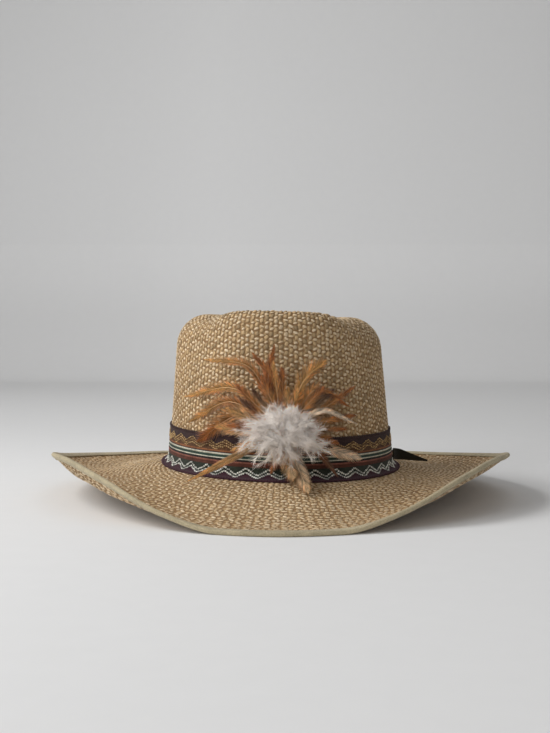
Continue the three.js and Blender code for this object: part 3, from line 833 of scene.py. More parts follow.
def laid_pieces(name, shape, places, finish, slot, size, unevenness, seed, replaced=()):
    """Lays a shape at places with Geometry Nodes and keeps the result as one plain mesh.

    Size is the shape's length, width and height, and unevenness how much each copy differs.
    """
    points, face, lie, reach, tint = places.columns()
    mesh = bpy.data.meshes.new(name + "_places")
    mesh.from_pydata(points.tolist(), [], [])
    set_attribute(mesh, "face", "FLOAT_VECTOR", face)
    set_attribute(mesh, "lie", "FLOAT_VECTOR", lie)
    set_attribute(mesh, "reach", "FLOAT_VECTOR", reach)
    set_attribute(mesh, "tint", "FLOAT_COLOR", with_alpha(tint))
    carrier = bpy.data.objects.new(name + "_places", mesh)
    bpy.context.scene.collection.objects.link(carrier)
    modifier = carrier.modifiers.new("Lay pieces", "NODES")
    modifier.node_group = laying_tree()
    long, wide, high = size
    values = {
        "Shape": shape,
        "Length": long,
        "Width": wide,
        "Height": high,
        "Unevenness": unevenness,
        "Seed": seed,
        "Finish": finish,
    }
    for socket in modifier.node_group.interface.items_tree:
        if socket.name in values:
            modifier[socket.identifier] = values[socket.name]
    graph = bpy.context.evaluated_depsgraph_get()
    made = bpy.data.meshes.new_from_object(carrier.evaluated_get(graph), depsgraph=graph)
    carrier.modifiers.clear()
    bpy.data.objects.remove(carrier)
    if not made.polygons:
        raise RuntimeError(f"{name}: the tree laid no pieces")
    for spare in ("face", "lie", "reach"):
        if spare in made.attributes:
            made.attributes.remove(made.attributes[spare])
    return add_piece(name, made, finish, slot, *replaced)


# Shader node groups and materials


def group(name, inputs, outputs):
    """A new shader node group with named sockets. Returns the group, its input and its output."""
    tree = bpy.data.node_groups.new(name, "ShaderNodeTree")
    for label, kind, value in inputs:
        socket = tree.interface.new_socket(label, in_out="INPUT", socket_type=kind)
        if value is not None:
            socket.default_value = value
    for label, kind in outputs:
        tree.interface.new_socket(label, in_out="OUTPUT", socket_type=kind)
    return tree, tree.nodes.new("NodeGroupInput").outputs, tree.nodes.new("NodeGroupOutput").inputs


def feed(links, source, socket):
    """Links a socket into another, or sets its value."""
    if isinstance(source, bpy.types.NodeSocket):
        links.new(source, socket)
    else:
        socket.default_value = source


def math_node(tree, operation, *sources):
    """A Math node's output."""
    node = tree.nodes.new("ShaderNodeMath")
    node.operation = operation
    for socket, source in zip(node.inputs, sources):
        feed(tree.links, source, socket)
    return node.outputs[0]


def noise_node(tree, vector, scale, detail):
    """A Noise Texture's factor."""
    node = tree.nodes.new("ShaderNodeTexNoise")
    node.inputs["Detail"].default_value = detail
    node.inputs["Roughness"].default_value = 0.55
    feed(tree.links, scale, node.inputs["Scale"])
    feed(tree.links, vector, node.inputs["Vector"])
    return node.outputs["Fac"]


def fibre_group():
    """Fine uneven fibre: a shade round one and a height."""
    if "Fibre" in bpy.data.node_groups:
        return bpy.data.node_groups["Fibre"]
    tree, given, result = group(
        "Fibre",
        [
            ("Vector", "NodeSocketVector", None),
            ("Scale", "NodeSocketFloat", 900.0),
            ("Patch scale", "NodeSocketFloat", 18.0),
            ("Contrast", "NodeSocketFloat", 0.3),
        ],
        [("Shade", "NodeSocketFloat"), ("Height", "NodeSocketFloat")],
    )
    fine = noise_node(tree, given["Vector"], given["Scale"], 3.0)
    patch = noise_node(tree, given["Vector"], given["Patch scale"], 2.0)
    both = math_node(tree, "ADD", fine, patch)
    centred = math_node(tree, "SUBTRACT", both, 1.0)
    shade = math_node(tree, "MULTIPLY_ADD", centred, given["Contrast"], 1.0)
    tree.links.new(shade, result["Shade"])
    tree.links.new(fine, result["Height"])
    return tree


def new_material(name, roughness, specular=0.35, sheen=0.0):
    """A material with its Principled BSDF. Returns the material and the shader's inputs."""
    material = bpy.data.materials.new(name)
    material.use_nodes = True
    shader = material.node_tree.nodes["Principled BSDF"]
    shader.inputs["Roughness"].default_value = roughness
    shader.inputs["Specular IOR Level"].default_value = specular
    if sheen:
        shader.inputs["Sheen Weight"].default_value = sheen
        shader.inputs["Sheen Roughness"].default_value = 0.5
    return material, shader.inputs


def stored(tree, name):
    """What a mesh holds under a name, as the outputs of an Attribute node."""
    node = tree.nodes.new("ShaderNodeAttribute")
    node.attribute_name = name
    return node.outputs


def object_place(tree):
    """Object coordinates."""
    return tree.nodes.new("ShaderNodeTexCoord").outputs["Object"]


def shaded(tree, base, shade):
    """A colour made darker or lighter by a shade round one."""
    node = tree.nodes.new("ShaderNodeHueSaturation")
    feed(tree.links, base, node.inputs["Color"])
    feed(tree.links, shade, node.inputs["Value"])
    return node.outputs["Color"]


def bumped(tree, height, distance, strength=1.0):
    """A normal from a height."""
    node = tree.nodes.new("ShaderNodeBump")
    node.inputs["Strength"].default_value = strength
    node.inputs["Distance"].default_value = distance
    feed(tree.links, height, node.inputs["Height"])
    return node.outputs["Normal"]


def fibre(tree, scale, patch_scale, contrast):
    """Places the fibre group. Returns its shade and height."""
    node = tree.nodes.new("ShaderNodeGroup")
    node.node_tree = fibre_group()
    tree.links.new(object_place(tree), node.inputs["Vector"])
    node.inputs["Scale"].default_value = scale
    node.inputs["Patch scale"].default_value = patch_scale
    node.inputs["Contrast"].default_value = contrast
    return node.outputs["Shade"], node.outputs["Height"]


def strand_finish(name, roughness=0.62, scale=1400.0, patch_scale=22.0):
    """Straw or yarn that takes its colour from the mesh, with fine fibre over it."""
    material, shader = new_material(name, roughness)
    tree = material.node_tree
    shade, height = fibre(tree, scale, patch_scale, contrast=0.5)
    tree.links.new(shaded(tree, stored(tree, "tint")["Color"], shade), shader["Base Color"])
    tree.links.new(bumped(tree, height, 0.12 * MM, strength=0.6), shader["Normal"])
    return material


def ramp_node(tree, factor, stops, interpolation="LINEAR"):
    """A Color Ramp's colour. Stops are (place, linear colour)."""
    node = tree.nodes.new("ShaderNodeValToRGB")
    node.color_ramp.interpolation = interpolation
    elements = node.color_ramp.elements
    while len(elements) > 1:
        elements.remove(elements[-1])
    elements[0].position = stops[0][0]
    elements[0].color = (*stops[0][1], 1)
    for place, linear in stops[1:]:
        elements.new(place).color = (*linear, 1)
    feed(tree.links, factor, node.inputs["Fac"])
    return node.outputs["Color"]


def uv_parts(tree):
    """U and V of the piece's own map."""
    node = tree.nodes.new("ShaderNodeSeparateXYZ")
    tree.links.new(tree.nodes.new("ShaderNodeUVMap").outputs["UV"], node.inputs[0])
    return node.outputs["X"], node.outputs["Y"]


def ribs(tree, along, count):
    """A wave from 0 to 1 with a count of ribs over a share."""
    turned = math_node(tree, "MULTIPLY", along, count * 2 * math.pi)
    return math_node(tree, "MULTIPLY_ADD", math_node(tree, "SINE", turned), 0.5, 0.5)


def painted_rib_shade(tree, shade, rib, darkest, painted_light_gain):
    """A shade made darkest between the ribs and lighter on their backs: painted shade and light of the
    ribs.
    """
    return math_node(tree, "MULTIPLY", shade, math_node(tree, "MULTIPLY_ADD", rib, painted_light_gain, darkest))


# Straw

# Rows that the ground's shader draws over the outside and the inside together
GROUND_ROWS = 130


def shell_finish(weave):
    """The ground that the strands lie on: crossing dark strands with shadow between them."""
    material, shader = new_material("straw_ground", 0.8, specular=0.2)
    tree = material.node_tree
    u, v = uv_parts(tree)
    height = math_node(tree, "MULTIPLY", ribs(tree, u, weave.columns), ribs(tree, v, GROUND_ROWS))
    shade, _ = fibre(tree, 900.0, 20.0, 0.5)
    # The deep straw in the low places of the grid is painted shadow between the strands.
    ground = ramp_node(tree, height, [(0, weave.deep), (0.9, weave.brown)])
    tree.links.new(shaded(tree, ground, shade), shader["Base Color"])
    tree.links.new(bumped(tree, height, 0.4 * MM), shader["Normal"])
    return material


class HAT_OT_straw_shell(bpy.types.Operator):
    """Ground cloth of crown and brim, which the strands lie on"""

    bl_idname = "hat.straw_shell"
    bl_label = "Straw shell"

    TURNS = 192
    BRIM_ROWS = 36
    WALL_ROWS = 42
    TOP_ROWS = 30
    TOP_END = 2.97
    SUNK = 0.2 * MM

    def execute(self, context):
        weave, form = context.scene.hat_weave, context.scene.hat_form
        face = straw_face()
        turns = np.arange(self.TURNS) / self.TURNS
        brim = np.linspace(0, 1, self.BRIM_ROWS)
        wall = np.linspace(1, 2, self.WALL_ROWS)[1:]
        top = np.linspace(2, self.TOP_END, self.TOP_ROWS)[1:]
        climbs = np.concatenate([brim, wall, top])
        deeper = form.wall - self.SUNK
        outer, _ = face.at(turns[None, :], climbs[:, None], -self.SUNK)
        inner, _ = face.at(turns[None, :], climbs[::-1][:, None], -deeper)
        rings = np.concatenate([outer[::-1], inner[::-1]])
        faces, uvs = skin(rings.shape[:2], flip=True)
        middle = Vector(face.points[:, -1].mean(0))
        poles = [middle - Vector((0, 0, self.SUNK)), middle - Vector((0, 0, deeper))]
        points = np.concatenate([rings.reshape(-1, 3), np.array(poles)])
        last_row = (len(rings) - 1) * self.TURNS
        faces = faces.tolist() + fans(self.TURNS, last_row, (len(points) - 2, len(points) - 1))
        uvs = list(uvs.reshape(-1, 2)) + ([(0.5, 0)] * 3 + [(0.5, 1)] * 3) * self.TURNS
        mesh = new_mesh("straw_shell", points, faces, uvs)
        add_piece("straw_shell", mesh, shell_finish(weave), "straw", "crown", "brim")
        self.check(points, form)
        return {"FINISHED"}

    @staticmethod
    def check(points, form):
        """Stops if the shell isn't where the solid is."""
        low = np.minimum(BRIM_LOW, CROWN_LOW)
        high = np.maximum(BRIM_HIGH, CROWN_HIGH)
        off = max(np.abs(points.min(0) - low).max(), np.abs(points.max(0) - high).max())
        if off > 2 * form.wall:
            raise RuntimeError(f"the straw shell is {off * 1000:.1f} mm off the solid straw")


def row_climbs(face, stretch, pitch, start, end):
    """Climbs of the rows of a stretch, from start to end in metres along it."""
    length_there = face.length(stretch)
    count = max(int(round((length_there - start - end) / pitch)), 1)
    run = start + (np.arange(count) + 0.5) * (length_there - start - end) / count
    return stretch + run / length_there


# How the strands look on a side of the straw: how far the brown ones come near to the light straw,
# how much further they do and how much flatter all lie towards the brim's edge, the slant of the
# light ones in even and odd rows as shares of the named slant, and the brown ones' width as a share
# of their column and their darkest and brightest tint.
StrandLook = namedtuple(
    "StrandLook", "calm calmer_edge flatter_edge slant_even slant_odd brown_wide darkest brightest"
)
LOOKS = {
    "crown": StrandLook(0, 0, 0, -1.3, 1, 0.8, 0.6, 1.2),
    "brim": StrandLook(0.2, 0.35, 0.4, 1, 1, 0.9, 0.8, 1.15),
    "inside": StrandLook(0.65, 0, 0, 0, 0, 0.9, 0.8, 1.15),
}

# A run of rows: the climbs of its rows and their pitch, whether it is outside, how it looks, the
# shape of its light strands, and how proud the strands stand.
StrandRun = namedtuple("StrandRun", "name climbs pitch outside look shape height")


class Weaving:
    """The places of the strands of one run: light ones across and brown ones upright.

    A cross strand passes over one upright strand and under two, a strand further in each row.
    """

    # Fewest upright strands of a row, and the share of the brown ones that have faded
    FEWEST = 18
    FADED = 0.2
    # How far strands stray: round as a share of a turn, up as a share of the pitch, and in slant
    STRAY_ROUND = 0.0006
    STRAY_UP = 0.08
    LIGHT_STRAY = math.radians(12)
    BROWN_STRAY = math.radians(16)
    # Width of the light strands and length of the brown ones, as shares of the pitch
    LIGHT_WIDE = 0.78
    BROWN_LONG = 1.75
    # Inside the hat: length of the light strands as a share of their column, and of the brown ones
    LIGHT_INSIDE = 1.9
    BROWN_INSIDE = 1.25
    # How much a strand's sizes differ, and how deep its foot is in the straw
    SIZES = (0.85, 1.15)
    SUNK = 0.16 * MM

    def __init__(self, face, run, weave, wall, seed):
        self.face, self.run, self.weave = face, run, weave
        self.look = LOOKS[run.look]
        self.depth = 0.0 if run.outside else -wall
        self.rng = np.random.default_rng(seed)
        self.light, self.brown = Places(), Places()
        for index, climb in enumerate(run.climbs):
            self.row(index, climb)

    def columns(self, girth):
        """How many upright strands a row has: fewer where they come close, more where wide."""
        count = self.weave.columns
        while girth / count < self.weave.closest and count > self.FEWEST:
            count //= 2
        if not self.run.outside and girth / count > self.weave.widest:
            count *= 2
        return count

    def row(self, index, climb):
        """Light and brown strands of one row."""
        weave, look, pitch = self.weave, self.look, self.run.pitch
        to_edge = max(1 - climb, 0)
        girth = self.face.girth(climb)
        count = self.columns(girth)
        column = girth / count
        parts = 2 if column > weave.widest else 1
        over = np.arange(index % 3, count, 3) + 0.5
        if self.run.outside:
            light_long, light_turn = weave.float_start + weave.float_share * column, over / count
            brown_long, brown_turn, rise = pitch * self.BROWN_LONG, (over + 2) / count, pitch / 2
        else:
            light_long, light_turn = column * self.LIGHT_INSIDE, (over + 1.5) / count
            brown_long, brown_turn, rise = pitch * self.BROWN_INSIDE, over / count, 0.0
        high = 1 - look.flatter_edge * to_edge
        slant = weave.slant * (look.slant_odd if index % 2 else look.slant_even)
        size = (light_long, pitch * self.LIGHT_WIDE, high)
        tint = self.light_tints(len(over))
        self.lay(self.light, climb, light_turn, 0.0, size, slant, self.LIGHT_STRAY, tint)
        upright = math.pi / 2 - weave.lean
        size = (brown_long, column * look.brown_wide / parts, high)
        for part in range(parts):
            turn = brown_turn + (part - (parts - 1) / 2) / parts / count
            tint = self.brown_tints(len(over), look.calm + look.calmer_edge * to_edge)
            self.lay(self.brown, climb, turn, rise, size, upright, self.BROWN_STRAY, tint)

    def light_tints(self, count):
        """Tints between light and pale straw."""
        pale = self.rng.beta(1.4, 1.8, count)[:, None]
        return np.array(self.weave.light) * (1 - pale) + np.array(self.weave.pale) * pale

    def brown_tints(self, count, calm):
        """Tints of brown straw, with a faded one here and there."""
        light = np.array(self.weave.light)
        brown = np.array(self.weave.brown) * (1 - calm) + light * 0.9 * calm
        tints = brown * self.rng.uniform(self.look.darkest, self.look.brightest, (count, 1))
        tints[self.rng.random(count) < self.FADED] = light * 0.85
        return tints

    def lay(self, target, climb, turn, rise, size, slant, stray, tint):
        """Adds strands at places round one row, each a little out of place and of size."""
        rng, count = self.rng, len(turn)
        turn = turn + rng.normal(0, self.STRAY_ROUND, count)
        points, normals, around, upward = self.face.frame(turn, climb, self.depth)
        shift = rise + rng.normal(0, self.STRAY_UP * self.run.pitch, count)
        points = points + upward * shift[:, None]
        slant = slant + rng.normal(0, stray, count)
        lie = around * np.cos(slant)[:, None] + upward * np.sin(slant)[:, None]
        sizes = np.array(size) * rng.uniform(*self.SIZES, (count, 3))
        outward = normals if self.run.outside else -normals
        target.add(points - outward * self.SUNK, outward, lie, sizes, tint)


class HAT_OT_weave(bpy.types.Operator):
    """Strands of the straw, inside and out: light floats across, brown ones upright"""

    bl_idname = "hat.weave"
    bl_label = "Weave"

    # How far the strands run under the ribbon and behind the braid, and how far from the edge and
    # from the middle of the top they stop inside
    UNDER_RIBBON = 1.0 * MM
    BEHIND_BRAID = 1.5 * MM
    INNER_EDGE = 2.2 * MM
    MIDDLE = 2 * MM

    def execute(self, context):
        scene = context.scene
        weave, trim, form = scene.hat_weave, scene.hat_trim, scene.hat_form
        face = straw_face()
        full = grain_shape("full_strand", [(-0.3, 0.42, 0.7), (0, 0.5, 1), (0.3, 0.42, 0.7)])
        plain = grain_shape("plain_strand", [(-0.2, 0.46, 0.95), (0.2, 0.46, 0.95)])
        finish = strand_finish("straw_strand")
        edge = trim.binding_width - self.UNDER_RIBBON
        seam = form.seam_radius * math.pi / 2 - self.BEHIND_BRAID
        hidden = trim.braid_height - form.seam_radius - self.BEHIND_BRAID
        wide, fine, low = weave.crown_pitch, weave.brim_pitch, weave.under_height
        brim = row_climbs(face, 0, fine, edge, seam)
        under = row_climbs(face, 0, fine, self.INNER_EDGE, 0)
        wall = row_climbs(face, 1, wide, hidden, 0)
        inside = row_climbs(face, 1, wide, 0, 0)
        top = row_climbs(face, 2, wide, 0, self.MIDDLE)
        runs = [
            StrandRun("brim_weave", brim, fine, True, "brim", full, weave.brim_height),
            StrandRun("crown_weave", [*wall, *top], wide, True, "crown", full, weave.float_height),
            StrandRun("brim_under_weave", under, fine, False, "inside", plain, low),
            StrandRun("crown_inner_weave", [*inside, *top], wide, False, "inside", plain, low),
        ]
        for number, run in enumerate(runs):
            strands = Weaving(face, run, weave, form.wall, 11 + number)
            size = (1, 1, run.height)
            laid_pieces(
                run.name + "_light", run.shape, strands.light, finish, "straw", size, 0.1, 21 + number
            )
            laid_pieces(
                run.name + "_brown", plain, strands.brown, finish, "straw", size, 0.12, 31 + number
            )
        return {"FINISHED"}


# Binding

# Section of the folded ribbon in millimetres, from its upper edge round the fold and back inside:
# out from the brim's edge, up from the straw's top, and how much of the edge's wander it follows.
RibbonRow = namedtuple("RibbonRow", "out up wander")
RIBBON = [
    RibbonRow(-5.35, 0.18, 1),
    RibbonRow(-5.5, 0.42, 1),
    RibbonRow(-5.2, 0.66, 1),
    RibbonRow(-3.2, 0.62, 0.3),
    RibbonRow(-1.2, 0.7, 0),
    RibbonRow(0.1, 0.58, 0),
    RibbonRow(0.72, 0.1, 0),
    RibbonRow(0.98, -0.7, 0),
    RibbonRow(0.95, -1.5, 0),
    RibbonRow(0.55, -2.2, 0),
    RibbonRow(-0.2, -2.52, 0),
    RibbonRow(-1.3, -2.6, 0),
    RibbonRow(-2.4, -2.56, 0.3),
    RibbonRow(-3.2, -2.55, 1),
    RibbonRow(-3.4, -2.32, 1),
    RibbonRow(-3.2, -1.95, 1),
    RibbonRow(-1.8, -1.75, 0),
    RibbonRow(-0.3, -1.72, 0),
    RibbonRow(0.22, -1.3, 0),
    RibbonRow(0.22, -0.2, 0),
    RibbonRow(-0.3, 0.14, 0),
    RibbonRow(-3, 0.14, 0),
]

# Where the two rows of stitches run: side of the ribbon, then out and up in millimetres
StitchRow = namedtuple("StitchRow", "side out up")
STITCHES = [StitchRow(1, -4.5, 0.6), StitchRow(-1, -2.4, -2.5)]

# Cross ribs of the ribbon's shader round the whole brim
RIBBON_RIBS = 1500


def edge_frames(count):
    """The brim's edge with the ways out and up of the strip that the binding wraps."""
    form = hat_form()
    azimuth = np.linspace(-math.pi, math.pi, count, endpoint=False)
    section = form.brim_section(azimuth, 4)
    edge, land = section[:, 0], section[:, 1]
    out = unit(edge - land)
    ahead = np.roll(edge, -1, 0) - np.roll(edge, 1, 0)
    return edge, out, unit(np.cross(out, ahead))


def wander(count, seed):
    """A wander round a loop, between about -1 and 1, from waves of several lengths."""
    rng = np.random.default_rng(seed)
    turn = np.arange(count) / count * 2 * math.pi
    waves = range(15, 60, 5)
    total = np.zeros(count)
    for wave in waves:
        total += math.cos(rng.uniform(0, 6)) * np.sin(wave * turn + rng.uniform(0, 6))
    return total / math.sqrt(len(waves))


def ribbon_finish(trim):
    """Khaki ribbon with fine cross ribs."""
    material, shader = new_material("binding_ribbon", 0.72, specular=0.25, sheen=0.15)
    tree = material.node_tree
    _, v = uv_parts(tree)
    rib = ribs(tree, v, RIBBON_RIBS)
    shade, height = fibre(tree, 800.0, 60.0, 0.75)
    # Painted shade between the ribbon's cross ribs, over the fibre's own tone.
    fibre_and_painted_shade = painted_rib_shade(tree, shade, rib, 0.89, 0.22)
    tree.links.new(shaded(tree, (*trim.binding_colour, 1), fibre_and_painted_shade), shader["Base Color"])
    relief = math_node(tree, "MULTIPLY_ADD", height, 0.8, rib)
    tree.links.new(bumped(tree, relief, 0.15 * MM), shader["Normal"])
    return material


class HAT_OT_binding(bpy.types.Operator):
    """Folded ribbon round the brim's edge, with its stitches"""

    bl_idname = "hat.binding"
    bl_label = "Binding"

    STEPS = 360
    WANDER = 0.18

    def execute(self, context):
        trim = context.scene.hat_trim
        edge, out, up = edge_frames(self.STEPS)
        section = np.array(RIBBON)[None]
        drift = wander(self.STEPS, 5)[:, None] * self.WANDER * section[..., 2]
        along = (section[..., 0] + drift) * MM
        above = np.broadcast_to(section[..., 1], along.shape) * MM
        rings = edge[:, None] + out[:, None] * along[..., None] + up[:, None] * above[..., None]
        faces, uvs = skin(rings.shape[:2], around=True, along=True)
        mesh = new_mesh("brim_ribbon", rings, faces, uvs)
        add_piece("brim_ribbon", mesh, ribbon_finish(trim), "binding", "brim_binding")
        self.stitches(trim)
        return {"FINISHED"}

    def stitches(self, trim):
        """A row of short stitches on the ribbon's upper and lower face."""
        girth = np.linalg.norm(np.diff(edge_frames(720)[0], axis=0), axis=1).sum()
        count = int(girth / trim.stitch_pitch)
        edge, out, up = edge_frames(count)
        along = unit(np.roll(edge, -1, 0) - np.roll(edge, 1, 0))
        places = Places()
        thread = np.array(trim.binding_colour) * 1.1
        for row in STITCHES:
            points = edge + out * row.out * MM + up * row.up * MM
            places.add(points, up * row.side, along, 1, thread)
        shape = grain_shape("stitch", [(-0.35, 0.45, 0.8), (0.35, 0.45, 0.8)])
        finish = strand_finish("binding_thread", roughness=0.6)
        size = (trim.stitch_pitch * 0.6, 0.4 * MM, 0.18 * MM)
        laid_pieces("binding_stitches", shape, places, finish, "binding", size, 0.08, 41)


# Braid

# Threads of the braid's shader: round the crown, and down the braid
BRAID_PICKS = 620
BRAID_ENDS = 34


def braid_periods():
    """How many zigzags run round the braid."""
    return int(round(braid_face().girth(0.5) / bpy.context.scene.hat_trim.zigzag_period))


def zigzag_wave(tree, along):
    """A wave that is 0 at the zigzag's peaks and 1 at its lowest points."""
    steps = math_node(tree, "MULTIPLY", along, 2.0 * braid_periods())
    return math_node(tree, "SUBTRACT", 1.0, math_node(tree, "PINGPONG", steps, 1.0))


def mixed(tree, mask, first, second):
    """The first colour, or the second where the mask is 1."""
    node = tree.nodes.new("ShaderNodeMix")
    node.data_type = "RGBA"
    feed(tree.links, mask, node.inputs["Factor"])
    feed(tree.links, first, node.inputs[6])
    feed(tree.links, second, node.inputs[7])
    return node.outputs[2]


def braid_finish():
    """Woven braid with stripes across its height and fine ribs."""
    material, shader = new_material("braid_weave", 0.85, specular=0.15, sheen=0.1)
    tree = material.node_tree
    u, v = uv_parts(tree)
    stripes = [(row.start, YARNS[row.yarn]) for row in BRAID_STRIPES]
    down = ramp_node(tree, v, stripes, "CONSTANT")
    wave = zigzag_wave(tree, u)
    edge = math_node(tree, "MULTIPLY_ADD", wave, 0.1, 0.1)
    above = math_node(tree, "LESS_THAN", v, edge)
    down = mixed(tree, above, down, (*YARNS["umber"], 1))
    foot = math_node(tree, "MULTIPLY_ADD", wave, 0.13, 0.75)
    below = math_node(tree, "GREATER_THAN", v, foot)
    down = mixed(tree, below, down, (*YARNS["plum"], 1))
    cloth = math_node(tree, "MULTIPLY", ribs(tree, u, BRAID_PICKS), ribs(tree, v, BRAID_ENDS))
    shade, _ = fibre(tree, 700.0, 90.0, 1.3)
    # Painted shade between the braid's threads, over the fibre's own tone.
    fibre_and_painted_shade = painted_rib_shade(tree, shade, cloth, 0.7, 0.8)
    tree.links.new(shaded(tree, down, fibre_and_painted_shade), shader["Base Color"])
    tree.links.new(bumped(tree, cloth, 0.3 * MM), shader["Normal"])
    return material


def stripe_relief(down):
    """How proud the braid stands at a share down it, rounded over each stripe."""
    starts = np.array([row.start for row in BRAID_STRIPES] + [1.0])
    reliefs = np.array([row.relief for row in BRAID_STRIPES])
    stripe = np.clip(np.searchsorted(starts, down, side="right") - 1, 0, len(reliefs) - 1)
    inside = (down - starts[stripe]) / (starts[stripe + 1] - starts[stripe])
    return reliefs[stripe] * np.sqrt(np.clip(1 - (2 * inside - 1) ** 4, 0, 1)) * MM


class HAT_OT_braid(bpy.types.Operator):
    """Patterned braid round the crown: striped cloth, zigzag yarns and a looped edge"""

    bl_idname = "hat.braid"
    bl_label = "Braid"

    ROWS = 72
    TURNS = 240
    SUNK = 0.15 * MM
    HEM = 0.25 * MM
    STITCH_STEP = 1.7 * MM
    LOOP_STEP = 2.1 * MM
    LOOP_SLANT = 0.55

    def execute(self, context):
        trim = context.scene.hat_trim
        form, face = hat_form(), braid_face()
        down = np.linspace(0, 1, self.ROWS)
        turns = np.arange(self.TURNS) / self.TURNS
        off = form.braid_face - self.SUNK + stripe_relief(down)
        off[[0, -1]] = form.form.gap + self.HEM
        outer, _ = face.at(turns[None, :], 1 - down[:, None], off[:, None])
        inner, _ = face.at(turns[None, :], 1 - down[::-1][:, None], form.form.gap)
        rings = np.concatenate([outer, inner])
        faces, uvs = skin(rings.shape[:2], along=True, flip=True)
        # The map runs down the outer face alone
        uvs[..., 1] = np.clip(uvs[..., 1] * len(rings) / (self.ROWS - 1), 0, 1)
        mesh = new_mesh("hat_braid", rings, faces, uvs)
        add_piece("hat_braid", mesh, braid_finish(), "band", "hat_band")
        yarn = strand_finish("braid_yarn", 0.7, 1200.0, 80.0)
        self.zigzags(trim, form, face, yarn)
        self.loops(form, face, yarn)
        return {"FINISHED"}

    def zigzags(self, trim, form, face, yarn):
        """Zigzags of short stitches: two of chalk below, three of gold above."""
        rng = np.random.default_rng(51)
        places = Places()
        halves = 2 * braid_periods()
        run = face.girth(0.5) / halves
        off = form.braid_face - 0.05 * MM
        for row in BRAID_ZIGZAGS:
            fall = row.low - row.high
            rise = fall * trim.braid_height
            stitches = max(int(round(math.hypot(rise, run) / self.STITCH_STEP)), 2)
            leg = (np.arange(stitches) + 0.5) / stitches
            for half in range(halves):
                falling = half % 2 == 1
                down = row.high + fall * (leg if falling else 1 - leg)
                down = down + rng.normal(0, 0.006, stitches)
                points, normals, around, upward = face.frame((half + leg) / halves, 1 - down, off)
                lie = around * run + upward * rise * (-1 if falling else 1)
                tint = np.array(YARNS[row.yarn]) * rng.uniform(0.4, 1.2, (stitches, 1))
                places.add(points, normals, lie, (1, row.width, 1), tint)
        shape = grain_shape("yarn_stitch", [(-0.25, 0.48, 0.85), (0.25, 0.48, 0.85)])
        size = (self.STITCH_STEP * 0.86, 0.85 * MM, 0.5 * MM)
        laid_pieces("braid_zigzags", shape, places, yarn, "band", size, 0.12, 52)

    def loops(self, form, face, yarn):
        """Small dark loops along the braid's two edges."""
        places = Places()
        count = int(face.girth(1.0) / self.LOOP_STEP)
        turn = np.arange(count) / count
        off = form.braid_face - 0.3 * MM
        for climb, name in ((0.985, "umber"), (0.02, "plum")):
            points, normals, around, upward = face.frame(turn, climb, off)
            places.add(points, normals, around + upward * self.LOOP_SLANT, 1, YARNS[name])
        shape = grain_shape("edge_loop", [(-0.25, 0.46, 0.8), (0.25, 0.46, 0.8)])
        size = (2.6 * MM, 1.5 * MM, 0.9 * MM)
        laid_pieces("braid_edge_loops", shape, places, yarn, "band", size, 0.15, 53)


# Paths

# Points of a curve between two of its own, before they are set evenly
PATH_FINENESS = 24


def smooth_path(points, steps):
    """A curve through a few points, as positions and directions set evenly along it."""

    def between(first, last, start, end, at):
        return (end - at) / (end - start) * first + (at - start) / (end - start) * last

    points = np.asarray(points, float)
    chords = np.linalg.norm(np.diff(points, axis=0), axis=1)
    knots = np.concatenate([[0], np.cumsum(np.sqrt(chords))])
    ends = [2 * points[0] - points[1], 2 * points[-1] - points[-2]]
    padded = np.vstack([ends[0], points, ends[1]])
    times = np.concatenate([[2 * knots[0] - knots[1]], knots, [2 * knots[-1] - knots[-2]]])
    fine = []
    for index in range(len(points) - 1):
        p, t = padded[index : index + 4], times[index : index + 4]
        at = np.linspace(t[1], t[2], PATH_FINENESS, endpoint=index == len(points) - 2)[:, None]
        a = [between(p[k], p[k + 1], t[k], t[k + 1], at) for k in range(3)]
        b = [between(a[k], a[k + 1], t[k], t[k + 2], at) for k in range(2)]
        fine.append(between(b[0], b[1], t[1], t[2], at))
    fine = np.vstack(fine)
    run = np.concatenate([[0], np.cumsum(np.linalg.norm(np.diff(fine, axis=0), axis=1))])
    even = np.linspace(0, run[-1], steps + 1)
    path = np.stack([np.interp(even, run, fine[:, axis]) for axis in range(3)], -1)
    return path, unit(np.gradient(path, axis=0))


# Band tail

# Where the loose end has run to: back along the side and out from it as shares of the tail's reach,
# and down as a share of its drop.
TailRow = namedtuple("TailRow", "back out drop")
TAIL_PATH = [
    TailRow(0, 0, 0),
    TailRow(0.2, 0.01, 0.05),
    TailRow(0.36, 0.16, 0.25),
    TailRow(0.42, 0.55, 0.75),
    TailRow(0.45, 1, 1.3),
]


